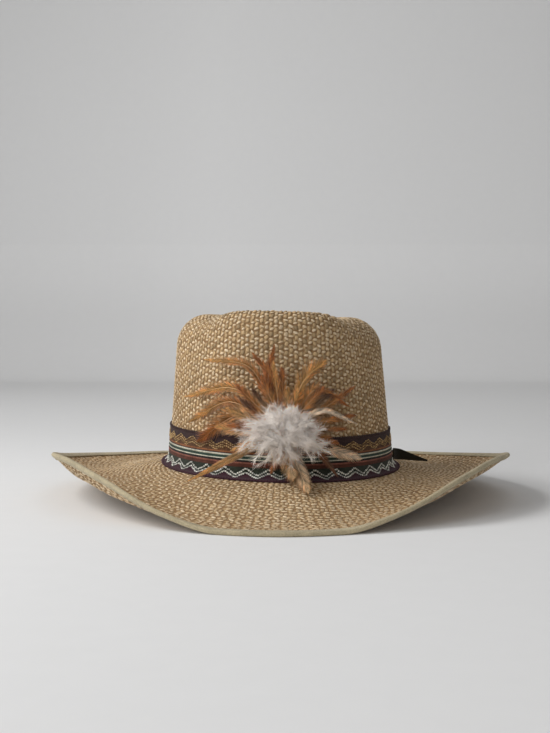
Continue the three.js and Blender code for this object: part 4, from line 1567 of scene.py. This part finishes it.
class HAT_OT_band_tail(bpy.types.Operator):
    """Dark pointed end of the braid, which lies over the brim"""

    bl_idname = "hat.band_tail"
    bl_label = "Band tail"

    STEPS = 40
    SIDES = 16
    POINTED = 0.65
    BUTT = 0.14
    CREASE = 0.18
    RIBS = 46

    def execute(self, context):
        trim, form = context.scene.hat_trim, hat_form()
        azimuth = np.array([trim.tail_azimuth])
        height = form.wall_foot + trim.tail_rise
        root = form.wall_points(azimuth, np.array([height]))[0]
        halves = np.array([form.form.crown_half_width, form.form.crown_half_length])
        away = unit(np.append(root[:2] / halves**2, 0))
        root = root + away * (form.braid_face + form.form.gap + trim.tail_wall / 2)
        backward = np.array([-away[1], away[0], 0])
        path, along = smooth_path(
            [
                root
                + backward * trim.tail_reach * row.back
                + away * trim.tail_reach * row.out
                - np.array([0, 0, trim.tail_drop * row.drop])
                for row in TAIL_PATH
            ],
            self.STEPS,
        )
        lay = np.linspace(0, 1, self.STEPS + 1)
        taper = np.minimum(1, (1 - lay) / self.POINTED)
        half = (self.BUTT + (1 - self.BUTT) * taper) * trim.tail_width / 2
        upward = np.array([0, 0, 1.0])
        across = unit(np.cross(np.cross(along, upward), along))
        face = unit(np.cross(along, across))
        turn = np.linspace(0, 2 * math.pi, self.SIDES, endpoint=False)
        flat = np.sign(np.cos(turn)) * np.abs(np.cos(turn)) ** 0.8
        thick = np.sign(np.sin(turn)) * np.abs(np.sin(turn)) ** 0.6 * trim.tail_wall / 2
        crease = self.CREASE * trim.tail_wall * np.cos(2 * math.pi * flat)
        rings = (
            path[:, None]
            + across[:, None] * (half[:, None] * flat[None])[..., None]
            + face[:, None] * (thick + crease)[None, :, None]
        )
        faces, uvs = skin(rings.shape[:2], flip=True)
        start = list(range(self.SIDES))
        end = [self.STEPS * self.SIDES + side for side in reversed(start)]
        faces = [*faces.tolist(), start, end]
        uvs = np.concatenate([uvs.reshape(-1, 2), np.full((2 * self.SIDES, 2), 0.5)])
        mesh = new_mesh("band_tail_ribbon", rings, faces, uvs)
        add_piece("band_tail_ribbon", mesh, self.finish(), "tail", "band_tail")
        return {"FINISHED"}

    @classmethod
    def finish(cls):
        """Near black ribbon with an olive cast."""
        material, shader = new_material("tail_ribbon", 0.78, specular=0.2, sheen=0.1)
        tree = material.node_tree
        u, v = uv_parts(tree)
        rib = ribs(tree, v, cls.RIBS)
        shade, _ = fibre(tree, 800.0, 90.0, 0.8)
        ground = ramp_node(tree, u, [(0, (0.020, 0.017, 0.012)), (0.5, (0.034, 0.029, 0.018))])
        # Painted shade between the ribbon's ribs, over the fibre's own tone.
        fibre_and_painted_shade = painted_rib_shade(tree, shade, rib, 0.75, 0.5)
        tree.links.new(shaded(tree, ground, fibre_and_painted_shade), shader["Base Color"])
        tree.links.new(bumped(tree, rib, 0.2 * MM), shader["Normal"])
        return material


# Cockade

# How much wider the vanes of long and short feathers are than the named width
LONG_WIDER = 1.25
SHORT_WIDER = 1.05


def cockade_point(across, up, stand):
    """A point in front of the crown, across and up from the cockade's middle and off the straw."""
    form, cockade = hat_form(), bpy.context.scene.hat_cockade
    height = cockade.up + up
    low = cockade.up - cockade.hub_radius
    wall_height = max(min(height, form.shoulder_height), low)
    side = form.wall_oval(np.array(math.pi / 2), wall_height)[0]
    azimuth = math.asin(max(-1, min(1, (cockade.across + across) / side)))
    foremost = form.wall_oval(np.array(azimuth), low)[1]
    return np.array([cockade.across + across, foremost - stand, height])


def plume_finish(name, roughness, contrast, sheen, painted_light_gain, through_share):
    """Barbs coloured from the mesh, pale to their ends, letting light through, and brightened past their
    own colour by painted light.
    """
    material, shader = new_material(name, roughness, specular=0.3, sheen=sheen)
    tree = material.node_tree
    along = stored(tree, "along")["Fac"]
    # Painted light: a factor above one lifts the colour beyond its own, for light that bounces among the
    # barbs.
    tip_pale_and_painted_light = math_node(tree, "MULTIPLY_ADD", along, 0.35 * painted_light_gain, 0.85 * painted_light_gain)
    shade, _ = fibre(tree, 500.0, 110.0, contrast)
    tint = stored(tree, "tint")["Color"]
    tone = shaded(tree, tint, math_node(tree, "MULTIPLY", tip_pale_and_painted_light, shade))
    tree.links.new(tone, shader["Base Color"])
    through = tree.nodes.new("ShaderNodeBsdfTranslucent")
    tree.links.new(tone, through.inputs["Color"])
    both = tree.nodes.new("ShaderNodeMixShader")
    both.inputs["Fac"].default_value = through_share
    tree.links.new(tree.nodes["Principled BSDF"].outputs["BSDF"], both.inputs[1])
    tree.links.new(through.outputs["BSDF"], both.inputs[2])
    tree.links.new(both.outputs["Shader"], tree.nodes["Material Output"].inputs["Surface"])
    return material


class Plumes:
    """Feathers in the making: barbs to lay and shafts to join."""

    # The shafts: sides and steps, how much radius they lose towards the tip and what is left there,
    # how proud of the vane they stand, and the width of the feather that these radii belong to
    SHAFT_SIDES = 5
    SHAFT_STEPS = 22
    SHAFT_TAPER = 0.36 * MM
    SHAFT_TIP = 0.08 * MM
    SHAFT_STAND = 0.12 * MM
    PLAIN_WIDTH = 7 * MM
    # The vanes: fewest and shortest barbs, the barbs' angle from the shaft and what it loses by the
    # tip, how far the vane twists, and how much of its colour the downy part loses
    FEWEST_BARBS = 12
    SHORTEST_BARB = 1.2 * MM
    SWEEP = math.radians(34)
    SWEEP_LOSS = math.radians(12)
    TWIST = 0.35
    DOWNY = 0.7

    def __init__(self, seed, pale):
        self.rng = np.random.default_rng(seed)
        self.pale = np.array(pale)
        self.barbs = Places()
        self.shaft_points, self.shaft_faces, self.shaft_tints = [], [], []

    def feather(self, points, width, roll, root, tip, pitch, blunt, fluffy, bare=0.16):
        """One feather along a path: a tapering shaft with a vane of barbs on both sides.

        The barbs lie closer to the shaft towards the tip. They are loose, uneven and downy near the
        root, as far as fluffy says, and bare is the share of the shaft without barbs.
        """
        rough = np.linalg.norm(np.diff(points, axis=0), axis=1).sum()
        steps = max(int(rough / pitch), self.FEWEST_BARBS)
        path, along = smooth_path(points, steps)
        lay = np.linspace(0, 1, steps + 1)
        forward = np.array([0, -1.0, 0])
        side = unit(np.cross(forward, along))
        facing = unit(np.cross(along, side))
        turned = math.radians(roll) + self.TWIST * np.sin(lay * 4 + self.rng.uniform(0, 6))
        side, facing = (
            side * np.cos(turned)[:, None] + facing * np.sin(turned)[:, None],
            facing * np.cos(turned)[:, None] - side * np.sin(turned)[:, None],
        )
        root, tip = np.array(PLUMAGE[root]), np.array(PLUMAGE[tip])
        mix = np.clip((lay - 0.25) / 0.6, 0, 1)[:, None]
        tints = root * (1 - mix) + tip * mix
        keep = lay > bare
        spread = np.sin(math.pi * np.clip(lay, 0, 0.985) ** blunt) ** 0.75
        lean = self.SWEEP - self.SWEEP_LOSS * lay
        fluff, ragged = np.clip(1 - lay / fluffy, 0, 1), min(fluffy / 0.2, 1) ** 2
        downy = self.DOWNY * fluff[:, None]
        tints = tints * (1 - downy) + self.pale * downy
        ones = np.ones(steps + 1)
        for hand in (-1, 1):
            loose = self.rng.normal(0, 1, steps + 1) * (0.07 * ragged + 0.3 * fluff)
            angle = lean + loose + self.splits(steps + 1) * ragged + 0.3 * fluff
            uneven = self.rng.uniform(1 - 0.45 * ragged, 1 + 0.2 * ragged, steps + 1)
            reach = width / 2 * spread / np.sin(lean) * uneven
            reach = np.maximum(reach * (1 + 0.4 * fluff), self.SHORTEST_BARB)
            lie = along * np.cos(angle)[:, None] + side * hand * np.sin(angle)[:, None]
            lie -= facing * self.rng.uniform(-0.12, 0.2, (steps + 1, 1))
            tone = self.rng.uniform(0.45, 1.45, (steps + 1, 1)) * self.streaks(steps + 1)[:, None]
            size = np.stack([reach, ones, ones], -1)
            tint = tints * tone
            self.barbs.add(path[keep], facing[keep], lie[keep], size[keep], tint[keep])
        pale_root = root * 0.5 + np.array(PLUMAGE["cream"]) * 0.5
        self.shaft(path, side, facing, width, pale_root, tip)

    def splits(self, count):
        """Barbs that part from their neighbours in a few places."""
        angle = np.zeros(count)
        for place in self.rng.integers(0, count, 4):
            size = self.rng.integers(3, 9)
            angle[place : place + size] += self.rng.uniform(0.06, 0.2)
        return angle

    def streaks(self, count):
        """Slow light and dark streaks along a vane."""
        at = np.linspace(0, 1, count)
        return 1 + 0.18 * np.sin(at * self.rng.uniform(18, 34) + self.rng.uniform(0, 6))

    def shaft(self, path, side, facing, width, root, tip):
        """A tapering shaft along a path."""
        sides = self.SHAFT_SIDES
        picked = np.linspace(0, len(path) - 1, self.SHAFT_STEPS).astype(int)
        path, side, facing = path[picked], side[picked], facing[picked]
        lay = np.linspace(0, 1, self.SHAFT_STEPS)
        radius = (self.SHAFT_TAPER * (1 - lay) + self.SHAFT_TIP) * math.sqrt(width / self.PLAIN_WIDTH)
        turn = np.arange(sides) / sides * 2 * math.pi
        aside = radius[:, None] * np.cos(turn)[None]
        above = radius[:, None] * np.sin(turn)[None] + self.SHAFT_STAND
        rings = path[:, None] + side[:, None] * aside[..., None] + facing[:, None] * above[..., None]
        start = sum(len(points) for points in self.shaft_points)
        faces, _ = skin(rings.shape[:2])
        root_end = list(range(sides))[::-1]
        tip_end = [(self.SHAFT_STEPS - 1) * sides + corner for corner in range(sides)]
        self.shaft_points.append(rings.reshape(-1, 3))
        for face in (*faces.tolist(), root_end, tip_end):
            self.shaft_faces.append([corner + start for corner in face])
        mix = np.repeat(lay, sides)[:, None]
        self.shaft_tints.append(root * (1 - mix) + tip * mix)

    def shaft_mesh(self, name):
        """All the shafts as one mesh."""
        mesh = new_mesh(name, np.concatenate(self.shaft_points), self.shaft_faces)
        set_attribute(mesh, "tint", "FLOAT_COLOR", with_alpha(np.concatenate(self.shaft_tints)))
        return mesh


class HAT_OT_feathers(bpy.types.Operator):
    """Hackle feathers fanned over the front of the crown"""

    bl_idname = "hat.feathers"
    bl_label = "Feathers"

    # Short feathers: how far off the crown they start, as a share of the hub's stand, and the shares
    # of their length that their path runs through
    COVERT_ROOT = 0.6
    COVERT_PARTS = (0.05, 0.4, 0.75, 1)

    def execute(self, context):
        cockade = context.scene.hat_cockade
        plumes = Plumes(61, cockade.white)
        for row in FEATHERS:
            self.long_feather(plumes, row, cockade)
        for row in COVERTS:
            self.covert(plumes, row, cockade)
        barb = ridge_shape("barb", [(0, 0.5, 1, 0), (0.5, 0.42, 0.8, 0.6)])
        finish = plume_finish(
            "hackle_vane", roughness=0.55, contrast=0.8, sheen=0.25, painted_light_gain=1.0, through_share=0.4
        )
        size, solid = (1, 0.33 * MM, 0.13 * MM), ("feather_spray",)
        laid_pieces("feather_vanes", barb, plumes.barbs, finish, "feather", size, 0.08, 62, solid)
        shafts = plumes.shaft_mesh("feather_shafts")
        add_piece("feather_shafts", shafts, strand_finish("hackle_shaft", 0.45), "feather")
        return {"FINISHED"}

    @staticmethod
    def long_feather(plumes, row, cockade):
        """One of the long feathers, which stand in the solid model too, two of them as one strip."""
        reach, rise = cockade.feather_reach, cockade.feather_rise

        def place(across, up, part, off):
            return cockade_point(across * reach * part, up * reach * part, off)

        points = [
            place(0, 0, 0, rise),
            place(row.bend_across, row.bend_up, 0.4, rise),
            place(row.bend_across, row.bend_up, 1, cockade.hub_stand * row.bend_off),
            place(row.tip_across, row.tip_up, 1, cockade.hub_stand * row.tip_off),
        ]
        width = cockade.feather_width * row.width * LONG_WIDER
        plumes.feather(
            points, width, row.roll, row.root, row.tip, cockade.barb_pitch, row.blunt, row.fluff
        )

    def covert(self, plumes, row, cockade):
        """A short feather that covers the quills."""
        angle = math.radians(row.points)
        reach = cockade.feather_reach * row.length
        bend = plumes.rng.uniform(-0.12, 0.12)
        points = [
            cockade_point(
                reach * part * math.sin(angle + bend * part),
                reach * part * math.cos(angle + bend * part),
                cockade.hub_stand * (self.COVERT_ROOT + (row.off - self.COVERT_ROOT) * part),
            )
            for part in self.COVERT_PARTS
        ]
        width = cockade.feather_width * row.width * SHORT_WIDER
        roll = plumes.rng.uniform(-25, 25)
        pitch = cockade.barb_pitch * 1.2
        plumes.feather(
            points, width, roll, row.root, row.tip, pitch, blunt=0.85, fluffy=cockade.fluff, bare=0.2
        )


class HAT_OT_down(bpy.types.Operator):
    """Pale down in the middle of the cockade, in tufts of fine barbs"""

    bl_idname = "hat.down"
    bl_label = "Down"

    # The tufts: barbs in each, the turn from one tuft to the next, how far round from the front they
    # go, where they start as a share of the way out, their bend, and the range of their barbs
    BARBS = 115
    GOLDEN_ANGLE = math.pi * (3 - math.sqrt(5))
    ROUND = 1.7
    INNER = 0.25
    SAG = 3.2 * MM
    SHORTEST = 3.5 * MM
    LONGEST = 8.0 * MM
    # The core: its size as a share of the down's, and its grid
    CORE = 0.4836
    CORE_ROWS = 14
    CORE_COLUMNS = 28

    def execute(self, context):
        cockade = context.scene.hat_cockade
        rng = np.random.default_rng(71)
        half = np.array([cockade.puff_half_width, cockade.puff_depth / 2, cockade.puff_half_height])
        middle = cockade_point(0, 0, cockade.hub_stand + cockade.puff_depth / 2)
        places = Places()
        for index in range(cockade.tufts):
            self.tuft(places, rng, index, cockade, middle, half)
        barb = ridge_shape("down_barb", [(0, 0.5, 1, 0), (0.5, 0.35, 0.7, 4)])
        # The down is brightened to half again its colour: painted light, for light that bounces among its
        # barbs.
        finish = plume_finish(
            "down_barbs", roughness=0.85, contrast=0.25, sheen=0.0, painted_light_gain=1.5, through_share=0.15
        )
        size, solid = (1, 0.17 * MM, 0.07 * MM), ("down_puff",)
        laid_pieces("down_tufts", barb, places, finish, "down", size, 0.15, 72, solid)
        self.core(middle, half * self.CORE, np.array(cockade.white))
        return {"FINISHED"}

    def tuft(self, places, rng, index, cockade, middle, half):
        """One tuft of fine barbs round a bent line that runs outwards from the middle.

        The tufts are spread evenly over the front of the down. They reach further at its foot on
        both sides, and less on the wearer's left and up on the right.
        """
        tilt = math.acos(1 - self.ROUND * (index + 0.5) / cockade.tufts)
        spin = index * self.GOLDEN_ANGLE
        out = math.sin(tilt)
        ray = np.array([out * math.cos(spin), -math.cos(tilt), out * math.sin(spin)])
        ray = unit(ray + rng.normal(0, 0.12, 3))
        aside = 1 + ray[1] ** 3
        outer = rng.uniform(0.42, 0.85) + 0.3 * aside * rng.random()
        outer *= 1 + 0.3 * rng.random() * (abs(ray[0]) > 0.4 and ray[2] < -0.15)
        outer *= 1 - 0.3 * max(ray[0] * (ray[2] > -0.25), 0) - 0.3 * max(-ray[0] * ray[2], 0)
        start, end = middle + half * ray * self.INNER, middle + half * ray * outer
        sag = rng.normal(0, 1, 3) * self.SAG
        path, along = smooth_path([start, (start + end) / 2 + sag, end], self.BARBS)
        count = len(path)
        # Ash down is partly the down's own darker tone and partly painted shade, for depth between the
        # tufts.
        fair = rng.beta(2.2, 0.9)
        shade = np.array(cockade.white) * fair + np.array(cockade.ash) * (1 - fair)
        lay = np.linspace(0, 1, count)[:, None]
        around = rng.uniform(0, 2 * math.pi, count)
        first = unit(np.cross(along, np.array([0.3, 0.2, 1.0])))
        second = np.cross(along, first)
        side = first * np.cos(around)[:, None] + second * np.sin(around)[:, None]
        lean = rng.uniform(0.2, 1.25, (count, 1)) * (1.1 - 0.35 * lay)
        lie = along * np.cos(lean) + side * np.sin(lean)
        lie[:, 2] -= 0.12
        ones = np.ones(count)
        size = np.stack([rng.uniform(self.SHORTEST, self.LONGEST, count), ones, ones], -1)
        # Painted shade: each tuft is darker at its base, near the core.
        tint = shade * (0.88 + 0.12 * lay) * rng.uniform(0.9, 1.08, (count, 1))
        outward = ray + rng.normal(0, 0.25, (count, 3))
        outward = outward - lie * np.sum(lie * outward, 1, keepdims=True)
        places.add(path, outward, lie, size, tint)

    def core(self, middle, half, tint):
        """The matted heart of the down, which closes it to the light."""
        rng = np.random.default_rng(73)
        rows, columns = self.CORE_ROWS, self.CORE_COLUMNS
        tilt = np.linspace(0, math.pi, rows + 2)[1:-1, None]
        spin = np.linspace(0, 2 * math.pi, columns, endpoint=False)[None, :]
        lumps = 1 + 0.05 * rng.normal(0, 1, (rows, columns))
        across, up = np.sin(tilt) * np.cos(spin), np.sin(tilt) * np.sin(spin)
        ball = np.stack([across, np.broadcast_to(np.cos(tilt), across.shape), up], -1)
        rings = middle + ball * half * lumps[..., None]
        poles = middle + np.array([[0, 1, 0], [0, -1, 0]]) * half
        faces, _ = skin(rings.shape[:2], flip=True)
        points = np.concatenate([rings.reshape(-1, 3), poles])
        ends = (len(points) - 2, len(points) - 1)
        faces = faces.tolist() + fans(columns, (rows - 1) * columns, ends, flip=True)
        mesh = new_mesh("down_core", points, faces)
        set_attribute(mesh, "tint", "FLOAT_COLOR", with_alpha(np.tile(tint, (len(points), 1))))
        add_piece("down_core", mesh, strand_finish("down_mat", 0.9, 600.0, 160.0), "down")


# Stage

# The studio's soft lights: place, width, power in watts and what each is turned towards, in metres
LightRow = namedtuple("LightRow", "name place width power target")
HAT_MIDDLE = (0, 0, 0.05)
STUDIO_LIGHTS = [
    LightRow("key", (-1.3, 0.0, 1.3), 0.8, 18.2, HAT_MIDDLE),
    LightRow("side", (-1.3, -1.2, 0.75), 0.8, 11.0, HAT_MIDDLE),
    LightRow("fill", (0.5, -1.8, 0.8), 1.0, 1.5, HAT_MIDDLE),
    LightRow("wall", (0.35, 0.5, 1.7), 0.8, 2.0, (0.25, 1.7, 0.35)),
]
AMBIENT_COLOUR = (1, 0.992, 0.982, 1)
AMBIENT_STRENGTH = 0.28

# Painted light and shade on the studio's paper, as tones: from the floor before the hat to the top of the
# wall, and from the wearer's right to the left, each at a share of the sheet.
ToneRow = namedtuple("ToneRow", "share tone")
PAPER_SHADE_DEPTH = [
    ToneRow(0.09, 0.83),
    ToneRow(0.11, 0.73),
    ToneRow(0.3, 0.79),
    ToneRow(0.6, 0.77),
    ToneRow(0.9, 0.84),
    ToneRow(0.95, 0.72),
]
PAPER_SHADE_ACROSS = [ToneRow(0.38, 0.85), ToneRow(0.44, 0.93), ToneRow(0.475, 1.0)]


class HAT_OT_stage(bpy.types.Operator):
    """Pale studio floor and wall, soft light and the camera"""

    bl_idname = "hat.stage"
    bl_label = "Stage"

    def execute(self, context):
        stage = context.scene.hat_stage
        self.cyclorama(stage)
        for row in STUDIO_LIGHTS:
            self.light(row)
        self.ambience(context.scene)
        self.camera(context.scene, stage)
        context.scene.view_settings.view_transform = "Standard"
        return {"FINISHED"}

    @classmethod
    def cyclorama(cls, stage):
        """Floor, cove and wall in one sheet. The paper's tones, which are painted light and shade, follow
        its rows and columns.
        """
        turn = np.linspace(0, math.pi / 2, 17)
        back, radius = stage.wall_back, stage.cove
        profile = [(-3.0, 0.0), (-1.0, 0.0), (0.0, 0.0), (back - 1.4 * radius, 0.0)]
        profile += [(back - radius + radius * math.sin(t), radius * (1 - math.cos(t))) for t in turn]
        profile += [(back, 1.5), (back, 3.5)]
        rows = np.array(profile)[:, None]
        sides = np.array([-3.0, -1.0, 1.0, 3.0])
        shape = (len(rows), len(sides))
        columns = [sides[None], rows[..., 0], rows[..., 1]]
        grid = np.stack([np.broadcast_to(column, shape) for column in columns], -1)
        faces, uvs = skin(shape, around=False)
        mesh = new_mesh("studio_sheet", grid, faces, uvs)
        mesh.materials.append(cls.paper())
        sheet = bpy.data.objects.new("studio_sheet", mesh)
        bpy.context.scene.collection.objects.link(sheet)

    @staticmethod
    def paper():
        """Pale paper that is a little darker behind the hat and to the wearer's right: painted shade for
        how the studio's light falls.
        """
        material, shader = new_material("studio_paper", 0.9, specular=0.1)
        tree = material.node_tree
        shade, _ = fibre(tree, 60.0, 1.2, 0.03)
        u, v = uv_parts(tree)
        # Painted light and shade: tones along and across the sheet, over the paper's fine grain.
        depth = ramp_node(tree, v, [(row.share, [row.tone] * 3) for row in PAPER_SHADE_DEPTH], "EASE")
        across = ramp_node(tree, u, [(row.share, [row.tone] * 3) for row in PAPER_SHADE_ACROSS])
        fibre_and_painted_shade = math_node(tree, "MULTIPLY", shade, across)
        tree.links.new(shaded(tree, depth, fibre_and_painted_shade), shader["Base Color"])
        return material

    @staticmethod
    def light(row):
        """A soft square light turned towards its target."""
        lamp = bpy.data.lights.new(row.name, "AREA")
        lamp.size, lamp.energy = row.width, row.power
        thing = bpy.data.objects.new(row.name, lamp)
        thing.location = row.place
        aim = Vector(row.target) - Vector(row.place)
        thing.rotation_euler = aim.to_track_quat("-Z", "Y").to_euler()
        bpy.context.scene.collection.objects.link(thing)

    @staticmethod
    def ambience(scene):
        """Plain light from all round."""
        world = bpy.data.worlds.new("studio")
        world.use_nodes = True
        background = world.node_tree.nodes["Background"]
        background.inputs["Color"].default_value = AMBIENT_COLOUR
        background.inputs["Strength"].default_value = AMBIENT_STRENGTH
        scene.world = world

    @staticmethod
    def camera(scene, stage):
        """The camera at the photograph's place, aimed without shift."""
        eye = Vector((0, -stage.distance, stage.eye_height))
        aim = Vector((stage.aim_across, 0, stage.aim_height))
        data = bpy.data.cameras.new("camera")
        data.sensor_width = 36
        data.lens = stage.lens
        camera = bpy.data.objects.new("camera", data)
        camera.location = eye
        camera.rotation_euler = (aim - eye).to_track_quat("-Z", "Y").to_euler()
        scene.collection.objects.link(camera)
        scene.camera = camera


PIECES = (
    HAT_OT_straw_shell,
    HAT_OT_weave,
    HAT_OT_binding,
    HAT_OT_braid,
    HAT_OT_band_tail,
    HAT_OT_feathers,
    HAT_OT_down,
)
SIZES = {
    "hat_form": HatFormSizes,
    "hat_weave": WeaveSizes,
    "hat_trim": TrimSizes,
    "hat_cockade": CockadeSizes,
    "hat_stage": StageSizes,
}


class HAT_PT_pieces(bpy.types.Panel):
    """Pieces of the hat, each with its operator"""

    bl_idname = "HAT_PT_pieces"
    bl_label = "Straw hat"
    bl_space_type = "VIEW_3D"
    bl_region_type = "UI"
    bl_category = "Straw hat"

    def draw(self, context):
        column = self.layout.column()
        for operator in (HAT_OT_stage, *PIECES):
            column.operator(operator.bl_idname)
        for name, sizes in SIZES.items():
            box = column.box()
            for value in sizes.__annotations__:
                box.prop(getattr(context.scene, name), value)


CLASSES = (*SIZES.values(), HAT_OT_stage, *PIECES, HAT_PT_pieces)


def register():
    """Registers the sizes, the operators and the panel."""
    for item in CLASSES:
        bpy.utils.register_class(item)
    for name, sizes in SIZES.items():
        setattr(bpy.types.Scene, name, PointerProperty(type=sizes))


def unregister():
    """Takes back what register added."""
    for name in SIZES:
        delattr(bpy.types.Scene, name)
    for item in reversed(CLASSES):
        bpy.utils.unregister_class(item)


def main():
    """Makes the stage and the pieces in order."""
    register()
    for operator in (HAT_OT_stage, *PIECES):
        category, name = operator.bl_idname.split(".")
        getattr(getattr(bpy.ops, category), name)()


if __name__ == "__main__":
    main()
